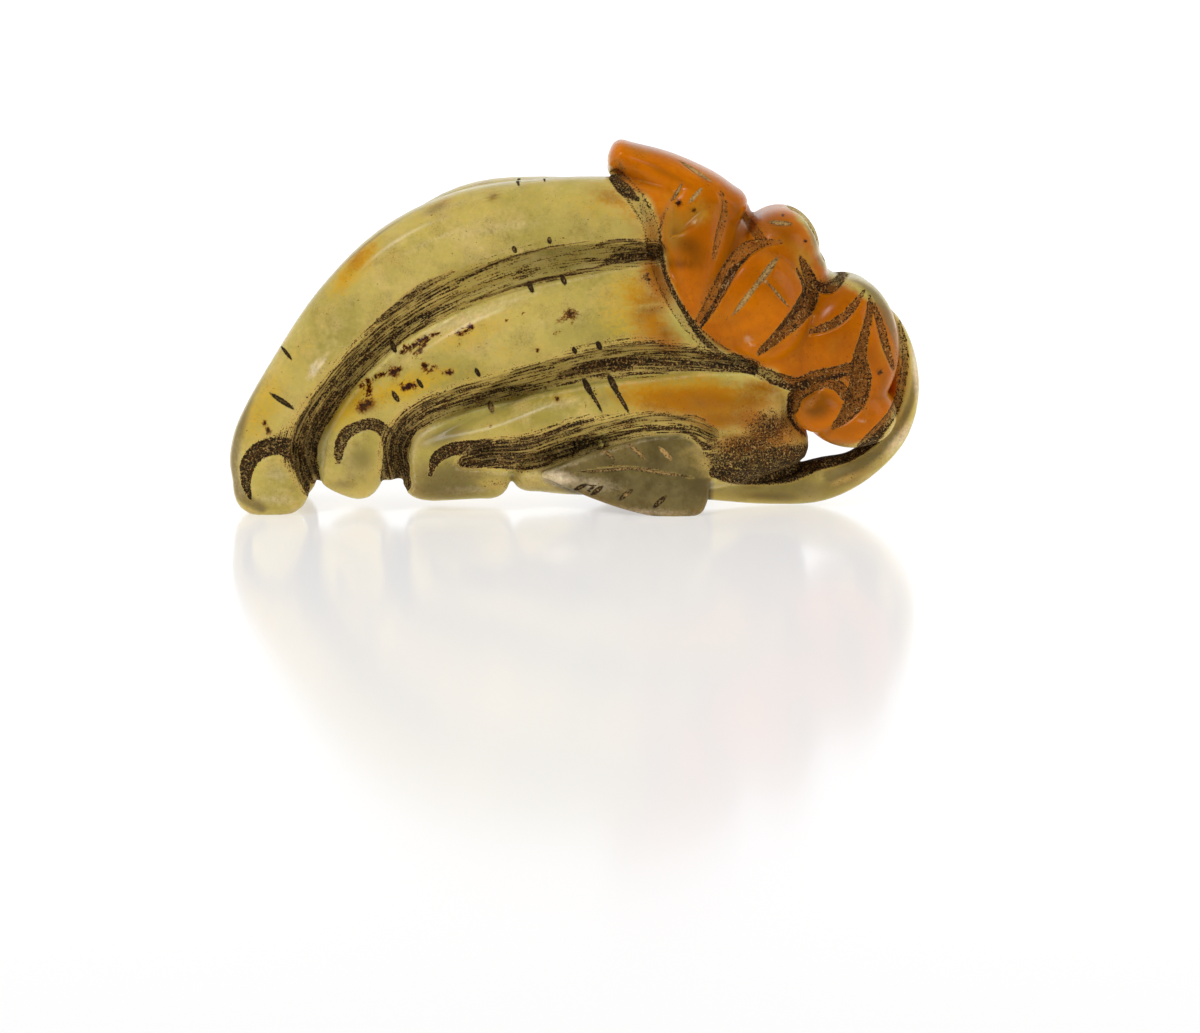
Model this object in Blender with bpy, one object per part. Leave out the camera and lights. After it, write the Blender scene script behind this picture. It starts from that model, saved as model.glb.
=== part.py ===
"""A citron pendant carved from one pebble of chalcedony, standing on its finger tips and leaves.

The carving is described as a sketch of its front, in hundredths of the pendant's length. "Across"
runs from the left finger tip (0) to the stem (100), "up" runs up the sketch from the front leaf's
foot, and "depth" runs from the front (negative) to the back (positive). The sketch is drawn from a
little above, so a place that lies further back stands higher in it. The back is carved like the
front, with fewer cuts.
"""

import math

import bmesh
import bpy
import numpy as np
from mathutils import Matrix, Vector

# Driving sizes, in metres.
LENGTH = 0.062
BODY_THICKNESS = 0.0174
STEM_WIDTH = 0.0028
STEM_DEPTH = 0.0040
LEAF_THICKNESS = 0.0022
GROOVE_WIDTH = 0.0026
GROOVE_DEPTH = 0.0011
CHANNEL_WIDTH = 0.0015
CHANNEL_DEPTH = 0.0009
FOOT_FLAT = 0.00012

# How the sketch is drawn.
SKETCH_TILT = math.radians(10)
SKETCH_FOOT_DEPTH = -8
SKETCH_MIDDLE = 50
SKETCH_THICKNESS = 28
BACK_HEIGHT = 0.975

# How finely the stone is worked out.
VOXEL = 0.00036
SMOOTHING_PASSES = 6
STEPS_PER_STATION = 5
RING_SIDES = 32
SQUARENESS = 2.9
PILLOW_SQUARENESS = 3.4
CAP_TURNS = (12, 26, 42, 60, 76)
TRIANGLES = 9000

SHARE = LENGTH / 100
DEPTH_SHARE = BODY_THICKNESS / SKETCH_THICKNESS

# Rounded limbs: across, up, depth, half height, half depth at each station.
TOP_FINGER = [
    (61.0, 43.0, -5.4, 5.2, 6.8),
    (54.0, 43.2, -5.4, 5.5, 6.8),
    (45.1, 42.7, -5.4, 5.7, 6.8),
    (35.0, 41.0, -5.4, 5.9, 6.8),
    (25.4, 36.4, -5.4, 5.9, 6.7),
    (17.5, 28.8, -5.6, 5.8, 6.5),
    (11.1, 20.0, -5.8, 5.5, 6.1),
    (6.8, 12.6, -6.2, 5.5, 5.4),
    (6.0, 8.8, -6.4, 5.9, 5.3),
    (6.0, 5.7, -6.5, 5.6, 5.0),
]
BACK_TOP_FINGER = [
    (71.0, 42.6, 5.4, 5.0, 6.8),
    (56.6, 43.5, 5.4, 5.5, 6.8),
    (45.1, 44.1, 5.4, 5.7, 6.8),
    (35.0, 42.8, 5.4, 5.9, 6.8),
    (25.8, 37.3, 5.4, 5.8, 6.7),
    (18.0, 29.5, 5.6, 5.7, 6.5),
    (11.7, 20.5, 5.8, 5.4, 6.1),
    (7.3, 13.4, 6.2, 5.4, 5.4),
    (6.4, 7.9, 6.5, 5.4, 5.2),
]
MIDDLE_FINGER = [
    (70.0, 29.8, -6.4, 6.6, 6.8),
    (61.0, 30.2, -6.6, 7.0, 6.8),
    (49.4, 28.6, -6.8, 7.0, 6.8),
    (39.3, 25.8, -6.8, 6.6, 6.6),
    (30.6, 21.5, -6.5, 6.0, 6.2),
    (24.1, 16.3, -6.2, 5.4, 5.8),
    (19.8, 11.9, -6.0, 5.1, 5.2),
    (17.9, 7.8, -6.0, 4.9, 4.8),
]
LOWER_FINGER = [
    (75.9, 16.0, -4.6, 5.0, 7.0),
    (66.8, 16.9, -5.6, 5.0, 7.0),
    (56.6, 16.3, -5.8, 5.0, 7.0),
    (48.0, 14.6, -5.8, 4.8, 6.8),
    (40.0, 11.4, -5.5, 4.8, 6.2),
    (31.2, 8.6, -4.5, 5.5, 5.4),
]
LOWER_TIP = [
    (29.8, 7.4, -4.5, 5.1, 5.2),
    (36.5, 7.0, -4.5, 4.3, 5.2),
]
UNDERSIDE = [
    (44.6, 8.2, 0.0, 4.2, 8.0),
    (50.0, 8.4, 0.0, 4.8, 9.4),
    (59.5, 9.2, 0.0, 5.6, 10.4),
    (71.1, 10.2, 0.0, 5.6, 10.4),
    (78.6, 12.2, 0.0, 5.4, 9.6),
]
PALM = [
    (9.0, 11.0, 0.0, 5.8, 7.6),
    (17.6, 12.2, 0.0, 6.8, 8.6),
    (29.2, 12.8, 0.0, 7.0, 9.0),
    (42.2, 12.8, 0.0, 6.4, 9.6),
]
CORE = [
    (15.5, 18.4, 0.0, 5.4, 8.6),
    (24.9, 25.0, 0.0, 8.6, 10.6),
    (39.3, 28.8, 0.0, 11.0, 11.4),
    (56.6, 29.6, 0.0, 13.6, 11.8),
    (71.1, 28.8, 0.0, 15.0, 11.8),
    (79.0, 26.4, 0.0, 12.0, 11.0),
]
LEAF_RIDGE = [
    (57.2, 51.8, -2.0, 2.3, 6.0),
    (62.8, 49.5, -2.5, 3.1, 7.4),
    (68.4, 46.8, -3.0, 3.3, 8.2),
    (71.8, 45.0, -3.0, 2.9, 8.2),
]
POINTED_PETAL = [
    (66.6, 43.4, -3.4, 6.2, 8.4),
    (67.4, 42.0, -4.0, 6.0, 9.0),
    (67.4, 38.0, -4.6, 4.9, 9.0),
    (67.0, 34.0, -5.2, 3.3, 8.6),
    (67.3, 30.8, -6.0, 2.0, 7.6),
    (67.7, 28.8, -7.0, 1.0, 6.0),
]
STEM = [
    (88.6, 32.6, 2.5),
    (95.6, 27.8, 2.0),
    (98.3, 20.2, 1.5),
    (97.0, 13.0, 1.0),
    (92.1, 7.7, 0.5),
    (85.8, 5.4, 0.0),
    (78.3, 4.4, -0.5),
    (70.4, 4.7, -1.0),
    (62.4, 5.1, -1.5),
]
STEM_SWELL = (1.15, 1.05, 1.0, 1.0, 1.05, 1.36, 1.1, 1.0, 0.9)
LEAF = [
    (45.7, 6.1, -8.5, 0.6),
    (51.6, 6.3, -9.0, 3.4),
    (59.5, 5.9, -9.5, 5.6),
    (65.6, 5.7, -9.5, 6.1),
    (68.2, 6.0, -9.2, 5.0),
    (69.2, 6.2, -9.0, 1.4),
]

# Petals: across, up, depth, half width, half height, half depth, turn in degrees.
FRONT_PETALS = {
    "broad_petal": (76.6, 31.0, -5.0, 7.6, 9.0, 8.8, -18),
    "side_petal": (88.9, 24.2, -3.4, 8.0, 10.8, 8.8, 5),
    "curled_petal": (89.8, 15.6, -3.4, 7.0, 5.2, 8.2, 10),
    "bud": (85.2, 15.5, -7.6, 3.6, 3.3, 4.8, 0),
}
BACK_PETALS = ("broad_petal", "side_petal", "curled_petal")
TOP_PETALS = {
    "crown_bump": (79.5, 38.6, 0.0, 5.9, 6.6, 11.0, 20),
    "crown_rim": (82.1, 35.6, 0.0, 4.6, 4.9, 10.0, 0),
    "stem_shoulder": (90.1, 31.0, 1.0, 5.2, 4.3, 6.0, 32),
}

# Cuts in the sketch plane. Wide grooves part the fingers and narrow channels part the petals.
GROOVES = {
    "under_top_finger": [(61.7, 37.8), (53.8, 36.9), (45.1, 35.5), (37.9, 33.5), (30.6, 30.3),
                         (24.9, 26.8), (19.8, 22.2), (15.5, 17.1), (12.1, 12.1), (10.9, 8.5), (12.4, 4.4)],
    "under_middle_finger": [(74.7, 21.3), (68.2, 22.2), (61.0, 22.2), (53.8, 21.3), (45.1, 19.6),
                            (37.9, 17.6), (30.6, 15.2), (26.0, 12.4), (24.3, 8.9), (25.0, 4.8)],
    "under_lower_finger": [(70.4, 10.6), (66.8, 12.2), (61.0, 12.1), (53.8, 10.8), (48.0, 9.2),
                           (42.2, 8.0), (37.4, 8.4)],
}
CHANNELS = {
    "petal_edge": [(56.0, 47.6), (59.7, 44.6), (61.7, 40.6), (62.6, 36.4), (64.2, 31.8),
                   (67.1, 27.2), (71.2, 23.6), (76.0, 21.4), (80.8, 19.6)],
    "broad_petal_side": [(75.7, 22.2), (80.5, 24.8), (83.5, 28.3), (84.7, 32.0), (83.1, 36.3)],
    "broad_petal_back": [(80.0, 39.4), (76.8, 39.2), (74.0, 37.4), (72.4, 35.0), (70.7, 31.6), (68.4, 28.2)],
    "side_petal_foot": [(80.8, 19.0), (84.9, 19.6), (89.2, 20.6), (91.6, 22.0)],
    "rim_petal_edge": [(92.6, 30.6), (92.5, 26.6), (91.8, 22.4), (91.2, 18.4), (89.2, 15.2), (87.3, 13.4)],
    "side_petal_vein": [(85.6, 27.0), (88.0, 28.0), (90.2, 30.4), (91.0, 32.0)],
    "top_tip_curl": [(3.0, 2.7), (3.2, 5.6), (4.9, 7.6), (8.2, 8.3), (10.4, 6.3), (11.7, 3.1)],
    "middle_tip_curl": [(15.9, 8.2), (16.9, 10.9), (19.8, 11.9), (22.5, 10.3), (23.6, 6.6)],
    "lower_tip_curl": [(29.6, 6.6), (31.4, 8.3), (34.2, 9.0), (38.6, 8.3)],
    "along_stem": [(70.8, 7.0), (77.6, 6.9), (84.8, 7.2), (90.6, 8.8), (93.9, 11.6), (95.6, 15.7)],
}
BACK_CHANNELS = (
    "petal_edge", "broad_petal_side", "side_petal_foot", "top_tip_curl", "middle_tip_curl", "along_stem",
)


def rise(up, depth):
    """Height above the ground, in shares, of a place in the sketch."""
    return (up - (depth - SKETCH_FOOT_DEPTH) * math.sin(SKETCH_TILT)) / math.cos(SKETCH_TILT)


def smooth_run(stations, steps):
    """A Catmull-Rom run through the stations, as an array with steps rows for each span."""
    rows = np.array(stations, float)
    padded = np.vstack([2 * rows[0] - rows[1], rows, 2 * rows[-1] - rows[-2]])
    t = (np.arange(steps) / steps)[:, None]
    spans = []
    for before, start, end, after in zip(padded, padded[1:], padded[2:], padded[3:]):
        spans.append(
            start
            + 0.5 * t * (end - before)
            + t**2 * (before - 2.5 * start + 2 * end - 0.5 * after)
            + t**3 * (1.5 * (start - end) + 0.5 * (after - before))
        )
    return np.vstack(spans + [rows[-1:]])


def flat_direction(run, i):
    """The run's direction at row i, in the across and height plane."""
    ahead = run[min(i + 1, len(run) - 1)]
    behind = run[max(i - 1, 0)]
    return Vector((ahead[0] - behind[0], 0, ahead[2] - behind[2])).normalized()


def squared(part):
    """A cosine or sine drawn outwards, which makes a circle a little squarer."""
    return math.copysign(abs(part) ** (2 / SQUARENESS), part)


def ring_points(centre, along, half_height, half_depth):
    """A squarish ring round the run: its height lies square to the run and its depth along Y."""
    square = Vector((-along.z, 0, along.x))
    angles = [2 * math.pi * k / RING_SIDES for k in range(RING_SIDES)]
    return [
        centre
        + square * half_height * squared(math.cos(a))
        + Vector((0, half_depth * squared(math.sin(a)), 0))
        for a in angles
    ]


def add_limb(stone, run):
    """A closed limb with round ends along rows of x, y, z, half height and half depth, in metres."""
    rings = []
    last = len(run) - 1
    for i, (x, y, z, high, deep) in enumerate(run):
        along = flat_direction(run, i)
        centre = Vector((x, y, z))
        cap = [(squared(math.sin(math.radians(a))), squared(math.cos(math.radians(a)))) for a in CAP_TURNS]
        outward = [(0, 1)]
        if i == 0:
            outward = [(-reach, narrow) for reach, narrow in cap[::-1]] + outward
        elif i == last:
            outward += cap
        for reach, narrow in outward:
            rings.append(ring_points(centre + along * high * reach, along, high * narrow, deep * narrow))
    loops = [[stone.verts.new(p) for p in ring] for ring in rings]
    for first, second in zip(loops, loops[1:]):
        for k in range(RING_SIDES):
            after = (k + 1) % RING_SIDES
            stone.faces.new((first[k], first[after], second[after], second[k]))
    stone.faces.new(loops[0][::-1])
    stone.faces.new(loops[-1])


def place_limb(stations):
    """Sketch stations as smooth rows in metres."""
    return [
        (
            (across - SKETCH_MIDDLE) * SHARE,
            depth * DEPTH_SHARE,
            rise(up, depth) * SHARE,
            high * SHARE,
            deep * DEPTH_SHARE,
        )
        for across, up, depth, high, deep in smooth_run(stations, STEPS_PER_STATION)
    ]


def on_back(run, height=BACK_HEIGHT):
    """Rows in metres, mirrored to the back and, unless told otherwise, set a little lower."""
    return [(x, -y, z * height, high, deep) for x, y, z, high, deep in run]


def add_petal(stone, petal, side):
    """A petal with a flat face and a round rim, on the front (-1) or mirrored on the back (1)."""
    across, up, depth, wide, high, deep, turn = petal
    height = rise(up, depth) * (BACK_HEIGHT if side > 0 else 1)
    centre = Vector(((across - SKETCH_MIDDLE) * SHARE, -side * depth * DEPTH_SHARE, height * SHARE))
    scale = Matrix.Diagonal((wide * SHARE, deep * DEPTH_SHARE, high * SHARE, 1))
    turned = Matrix.Rotation(math.radians(turn), 4, "Y")
    pillow = bmesh.ops.create_uvsphere(stone, u_segments=RING_SIDES, v_segments=RING_SIDES, radius=1)
    for vert in pillow["verts"]:
        spread = math.hypot(vert.co.x, vert.co.z)
        flatter = spread ** (2 / PILLOW_SQUARENESS - 1) if spread > 0 else 0
        depth_out = math.copysign(abs(vert.co.y) ** (2 / PILLOW_SQUARENESS), vert.co.y)
        vert.co = Vector((vert.co.x * flatter, depth_out, vert.co.z * flatter))
    bmesh.ops.transform(stone, verts=pillow["verts"], matrix=Matrix.Translation(centre) @ turned @ scale)


def add_stem(stone):
    """The stem that loops from the crown round the right end to the underside."""
    share_wide = STEM_WIDTH / 2 / SHARE
    share_deep = STEM_DEPTH / 2 / DEPTH_SHARE
    stations = [
        (*place, share_wide * swell, share_deep * swell) for place, swell in zip(STEM, STEM_SWELL)
    ]
    add_limb(stone, place_limb(stations))


def leaf_run():
    """The small leaf that lies against the underside and carries the pendant."""
    share_thick = LEAF_THICKNESS / 2 / DEPTH_SHARE
    return place_limb([(*station, share_thick) for station in LEAF])


def rough_stone():
    """Every limb and petal as overlapping closed shells."""
    stone = bmesh.new()
    for limb in (UNDERSIDE, PALM, CORE, TOP_FINGER, BACK_TOP_FINGER):
        add_limb(stone, place_limb(limb))
    paired = [
        place_limb(limb)
        for limb in (MIDDLE_FINGER, LOWER_FINGER, LOWER_TIP, LEAF_RIDGE, POINTED_PETAL)
    ]
    for run in paired:
        add_limb(stone, run)
        add_limb(stone, on_back(run))
    add_limb(stone, leaf_run())
    add_limb(stone, on_back(leaf_run(), height=1))
    for petal in FRONT_PETALS.values():
        add_petal(stone, petal, -1)
    for name in BACK_PETALS:
        add_petal(stone, FRONT_PETALS[name], 1)
    for petal in TOP_PETALS.values():
        add_petal(stone, petal, -1)
    add_stem(stone)
    bmesh.ops.recalc_face_normals(stone, faces=stone.faces)
    mesh = bpy.data.meshes.new("rough_stone")
    stone.to_mesh(mesh)
    stone.free()
    return mesh


def applied(mesh, add_modifiers):
    """A new mesh: this one with the modifiers that the function adds."""
    work = bpy.data.objects.new("work", mesh)
    bpy.context.scene.collection.objects.link(work)
    add_modifiers(work.modifiers)
    graph = bpy.context.evaluated_depsgraph_get()
    made = bpy.data.meshes.new_from_object(work.evaluated_get(graph))
    bpy.data.objects.remove(work)
    return made


def fuse_and_polish(modifiers):
    """Makes one skin of the overlapping shells, and smooths it as polishing would."""
    remesh = modifiers.new("fuse", "REMESH")
    remesh.mode = "VOXEL"
    remesh.voxel_size = VOXEL
    polish = modifiers.new("polish", "SMOOTH")
    polish.factor = 0.5
    polish.iterations = SMOOTHING_PASSES


def facet(modifiers, share):
    """Keeps this share of the triangles, where the form needs them."""
    facets = modifiers.new("facets", "DECIMATE")
    facets.ratio = share


def distance_to_line(points, line):
    """Shortest distance from each point to a polyline, in the sketch plane."""
    nearest = np.full(len(points), np.inf)
    for start, end in zip(line, line[1:]):
        step = end - start
        share = np.clip((points - start) @ step / (step @ step), 0, 1)
        nearest = np.minimum(nearest, np.linalg.norm(points - start - share[:, None] * step, axis=1))
    return nearest


def carve(skin, cuts, width, depth, side):
    """Sinks each cut into the skin on one side, as deep as its line is near."""
    count = len(skin.vertices)
    places = np.empty(count * 3, np.float32)
    normals = np.empty(count * 3, np.float32)
    skin.vertices.foreach_get("co", places)
    skin.vertex_normals.foreach_get("vector", normals)
    places = places.reshape(-1, 3).astype(float)
    facing = np.clip(side * normals.reshape(-1, 3)[:, 1] * 2, 0, 1)
    high = places[:, 2] / SHARE / (BACK_HEIGHT if side > 0 else 1)
    deep = -side * places[:, 1] / DEPTH_SHARE
    up = high * math.cos(SKETCH_TILT) + (deep - SKETCH_FOOT_DEPTH) * math.sin(SKETCH_TILT)
    sketch = np.column_stack([places[:, 0] / SHARE + SKETCH_MIDDLE, up])
    sunk = np.zeros(count)
    for cut in cuts:
        line = smooth_run(cut, STEPS_PER_STATION)
        near = np.clip(distance_to_line(sketch, line) * SHARE / (width / 2), 0, 1)
        sunk = np.maximum(sunk, (1 - near**2) ** 2)
    places[:, 1] -= side * sunk * facing * depth
    skin.vertices.foreach_set("co", places.astype(np.float32).ravel())
    skin.update()


def chalcedony():
    """Yellow-green polished stone."""
    material = bpy.data.materials.new("chalcedony")
    material.use_nodes = True
    shader = material.node_tree.nodes["Principled BSDF"]
    shader.inputs["Base Color"].default_value = (0.48, 0.42, 0.12, 1)
    shader.inputs["Roughness"].default_value = 0.2
    shader.inputs["Metallic"].default_value = 0
    return material


def floor_cutter():
    """A block whose top is the ground, to give the finger tips and leaves their small flats."""
    block = bmesh.new()
    side = LENGTH * 1.5
    bmesh.ops.create_cube(block, size=side, matrix=Matrix.Translation((0, 0, -side / 2)))
    mesh = bpy.data.meshes.new("ground")
    block.to_mesh(mesh)
    block.free()
    cutter = bpy.data.objects.new("ground", mesh)
    cutter.hide_render = True
    cutter.display_type = "WIRE"
    bpy.context.scene.collection.objects.link(cutter)
    return cutter


def settle(skin):
    """Centres the skin over the origin, with its lowest point one flat's depth under the ground."""
    count = len(skin.vertices)
    places = np.empty(count * 3, np.float32)
    skin.vertices.foreach_get("co", places)
    low, high = places.reshape(-1, 3).min(axis=0), places.reshape(-1, 3).max(axis=0)
    middle = (low + high) / 2
    skin.transform(Matrix.Translation((-middle[0], -middle[1], -low[2] - FOOT_FLAT)))


def main():
    for old in list(bpy.data.objects):
        bpy.data.objects.remove(old)
    skin = applied(rough_stone(), fuse_and_polish)
    for side, channels in ((-1, CHANNELS), (1, BACK_CHANNELS)):
        carve(skin, GROOVES.values(), GROOVE_WIDTH, GROOVE_DEPTH, side)
        carve(skin, [CHANNELS[name] for name in channels], CHANNEL_WIDTH, CHANNEL_DEPTH, side)
    stone = applied(skin, lambda modifiers: facet(modifiers, TRIANGLES / (2 * len(skin.polygons))))
    settle(stone)
    stone.name = "citron_pendant"
    stone.materials.append(chalcedony())
    stone.shade_smooth()
    pendant = bpy.data.objects.new("citron_pendant", stone)
    bpy.context.scene.collection.objects.link(pendant)
    feet = pendant.modifiers.new("feet", "BOOLEAN")
    feet.operation = "DIFFERENCE"
    feet.object = floor_cutter()


main()
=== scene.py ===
"""The looks of a citron pendant carved from one pebble of chalcedony.

The form is the solid's own recipe worked out finer: limbs and petals fused into one skin. The cuts
that a lapidary's wheel made are drawn as lines on the picture plane, in pixels of the 1200 x 1033
photograph with the cut's half width as a third number, and sunk into the skin along the view. The
back is carved like the front, with fewer cuts.
"""

import math

import bmesh
import bpy
import numpy as np
from mathutils import Matrix, Vector


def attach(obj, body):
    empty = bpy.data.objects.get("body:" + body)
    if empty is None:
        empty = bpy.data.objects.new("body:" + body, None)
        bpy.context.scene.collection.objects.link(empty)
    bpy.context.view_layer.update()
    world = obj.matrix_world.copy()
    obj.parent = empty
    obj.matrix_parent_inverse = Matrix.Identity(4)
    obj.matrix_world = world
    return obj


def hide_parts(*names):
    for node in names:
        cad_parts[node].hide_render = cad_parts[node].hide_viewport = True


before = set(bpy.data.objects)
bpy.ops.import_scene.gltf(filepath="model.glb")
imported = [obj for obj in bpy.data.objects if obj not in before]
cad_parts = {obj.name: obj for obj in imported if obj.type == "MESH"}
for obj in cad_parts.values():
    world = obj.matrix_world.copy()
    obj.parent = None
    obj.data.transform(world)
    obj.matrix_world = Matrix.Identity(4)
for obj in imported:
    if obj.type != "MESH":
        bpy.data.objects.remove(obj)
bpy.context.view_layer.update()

# The photograph and the camera that took it.
PHOTO_WIDTH = 1200
PHOTO_HEIGHT = 1033
LENS = 100
SENSOR = 36
EYE_DISTANCE = 0.30
EYE_TARGET = Vector((0.0021, -0.005, -0.00027))
TILT = math.radians(10)
PIXEL = SENSOR / LENS * EYE_DISTANCE / PHOTO_WIDTH
EYE = EYE_TARGET + Vector((0, -math.cos(TILT), math.sin(TILT))) * EYE_DISTANCE

# Driving sizes of the solid, in metres.
LENGTH = 0.062
BODY_THICKNESS = 0.0174
STEM_WIDTH = 0.0028
STEM_DEPTH = 0.0040
LEAF_THICKNESS = 0.0022
FOOT_FLAT = 0.00012

# How the solid's sketch is drawn, in hundredths of its length.
SKETCH_FOOT_DEPTH = -8
SKETCH_MIDDLE = 50
SKETCH_THICKNESS = 28
BACK_HEIGHT = 0.975
SHARE = LENGTH / 100
DEPTH_SHARE = BODY_THICKNESS / SKETCH_THICKNESS

# How finely the stone is worked out.
VOXEL = 0.00016
POLISHING_PASSES = 11
RUBBING_PASSES = 1
STEPS_PER_STATION = 5
STEPS_PER_MARK = 8
RING_SIDES = 48
SQUARENESS = 2.9
PILLOW_SQUARENESS = 3.4
CAP_TURNS = (12, 26, 42, 60, 76)
TRIANGLES = 192000

# A nick's outline: shares of its length, and how narrow and how full its ends are.
NICK_STATIONS = (0, 0.12, 0.3, 0.5, 0.7, 0.88, 1)
NICK_END = 0.15
NICK_FULLNESS = 0.6
# Lines on the picture plane, in pixels: the least half width, and how far a line's paint may reach.
LEAST_HALF_WIDTH = 0.5
LINE_REACH = 20
# Soil across a hollow, in half widths: crisp at the lower edge, dusty at the upper one, a painted
# highlight along the crest below, and streaks as far as their end.
CRISP_EDGE = -1
CRISP_SLOPE = 6
DUSTY_EDGE = 0.8
DUSTY_SLOPE = 1.1
CREST_HIGHLIGHT_PLACE = -1.22
CREST_HIGHLIGHT_WIDTH = 0.22
STREAK_END = 1.9
# Soil in a narrow cut and along a dark line, in half widths from the middle.
FURROW_EDGE = 1.15
FURROW_SLOPE = 4
DARK_EDGE = 0.85
SOIL_LINE_EDGE = 1.8
# Grey rims and their painted edge shade: how far out they end, in half widths, and their strength.
RIM_EDGE = 1.3
RIM_STRENGTH = 0.85
# How clouds fall off, and how they and the rims fade where the skin turns away from the eye.
CLOUD_FALL = 1.1
FADE_END = 0.05
FADE_WIDTH = 0.3
RIM_FADE = 0.4
# Nicks and specks, in shares of their size: a distance past them all, and the room between two.
FAR_OFF = 9.0
SWING_ROOM = 0.7
# Half the width of the table, in metres.
TABLE_HALF = 8

# Rounded limbs: across, up, depth, half height, half depth at each station.
TOP_FINGER = [
    (61, 43, -5.4, 5.2, 6.8), (54, 43.2, -5.4, 5.5, 6.8), (45.1, 42.7, -5.4, 5.7, 6.8),
    (35, 41, -5.4, 5.9, 6.8), (25.4, 36.4, -5.4, 5.9, 6.7), (17.5, 28.8, -5.6, 5.8, 6.5),
    (11.1, 20, -5.8, 5.5, 6.1), (6.8, 12.6, -6.2, 5.5, 5.4), (6, 8.8, -6.4, 5.9, 5.3),
    (6, 5.7, -6.5, 5.6, 5),
]
BACK_TOP_FINGER = [
    (71, 42.6, 5.4, 5, 6.8), (56.6, 43.5, 5.4, 5.5, 6.8), (45.1, 44.1, 5.4, 5.7, 6.8),
    (35, 42.8, 5.4, 5.9, 6.8), (25.8, 37.3, 5.4, 5.8, 6.7), (18, 29.5, 5.6, 5.7, 6.5),
    (11.7, 20.5, 5.8, 5.4, 6.1), (7.3, 13.4, 6.2, 5.4, 5.4), (6.4, 7.9, 6.5, 5.4, 5.2),
]
MIDDLE_FINGER = [
    (70, 29.8, -6.4, 6.6, 6.8), (61, 30.2, -6.6, 7, 6.8), (49.4, 28.6, -6.8, 7, 6.8),
    (39.3, 25.8, -6.8, 6.6, 6.6), (30.6, 21.5, -6.5, 6, 6.2), (24.1, 16.3, -6.2, 5.4, 5.8),
    (19.8, 11.9, -6, 5.1, 5.2), (17.9, 7.8, -6, 4.9, 4.8),
]
LOWER_FINGER = [
    (75.9, 16, -4.6, 5, 7), (66.8, 16.9, -5.6, 5, 7), (56.6, 16.3, -5.8, 5, 7),
    (48, 14.6, -5.8, 4.8, 6.8), (40, 11.4, -5.5, 4.8, 6.2), (31.2, 8.6, -4.5, 5.5, 5.4),
]
LOWER_TIP = [(29.8, 7.4, -4.5, 5.1, 5.2), (36.5, 7, -4.5, 4.3, 5.2)]
UNDERSIDE = [
    (44.6, 8.2, 0, 4.2, 8), (50, 8.4, 0, 4.8, 9.4), (59.5, 9.2, 0, 5.6, 10.4), (71.1, 10.2, 0, 5.6, 10.4),
    (78.6, 12.2, 0, 5.4, 9.6),
]
PALM = [(9, 11, 0, 5.8, 7.6), (17.6, 12.2, 0, 6.8, 8.6), (29.2, 12.8, 0, 7, 9), (42.2, 12.8, 0, 6.4, 9.6)]
CORE = [
    (15.5, 18.4, 0, 5.4, 8.6), (24.9, 25, 0, 8.6, 10.6), (39.3, 28.8, 0, 11, 11.4),
    (56.6, 29.6, 0, 13.6, 11.8), (71.1, 28.8, 0, 15, 11.8), (79, 26.4, 0, 12, 11),
]
LEAF_RIDGE = [
    (57.2, 51.8, -2, 2.3, 6), (62.8, 49.5, -2.5, 3.1, 7.4), (68.4, 46.8, -3, 3.3, 8.2),
    (71.8, 45, -3, 2.9, 8.2),
]
POINTED_PETAL = [
    (66.6, 43.4, -3.4, 6.2, 8.4), (67.4, 42, -4, 6, 9), (67.4, 38, -4.6, 4.9, 9),
    (67, 34, -5.2, 3.3, 8.6), (67.3, 30.8, -6, 2, 7.6), (67.7, 28.8, -7, 1, 6),
]
STEM = [
    (88.6, 32.6, 2.5), (95.6, 27.8, 2), (98.3, 20.2, 1.5), (97, 13, 1), (92.1, 7.7, 0.5), (85.8, 5.4, 0),
    (78.3, 4.4, -0.5), (70.4, 4.7, -1), (62.4, 5.1, -1.5),
]
STEM_SWELL = (1.15, 1.05, 1.0, 1.0, 1.05, 1.36, 1.1, 1.0, 0.9)
LEAF = [
    (45.7, 6.1, -8.5, 0.6), (51.6, 6.3, -9, 3.4), (59.5, 5.9, -9.5, 5.6), (65.6, 5.7, -9.5, 6.1),
    (68.2, 6, -9.2, 5), (69.2, 6.2, -9, 1.4),
]

# Petals: across, up, depth, half width, half height, half depth, turn in degrees.
FRONT_PETALS = {
    "broad_petal": (76.6, 31, -5, 7.6, 9, 8.8, -18),
    "side_petal": (88.9, 24.2, -3.4, 8, 10.8, 8.8, 5),
    "curled_petal": (89.8, 15.6, -3.4, 7, 5.2, 8.2, 10),
    "bud": (85.2, 15.5, -7.6, 3.6, 3.3, 4.8, 0),
}
BACK_PETALS = ("broad_petal", "side_petal", "curled_petal")
TOP_PETALS = {
    "crown_bump": (79.5, 38.6, 0, 5.9, 6.6, 11, 20),
    "crown_rim": (82.1, 35.6, 0, 4.6, 4.9, 10, 0),
    "stem_shoulder": (90.1, 31, 1, 5.2, 4.3, 6, 32),
}

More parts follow.
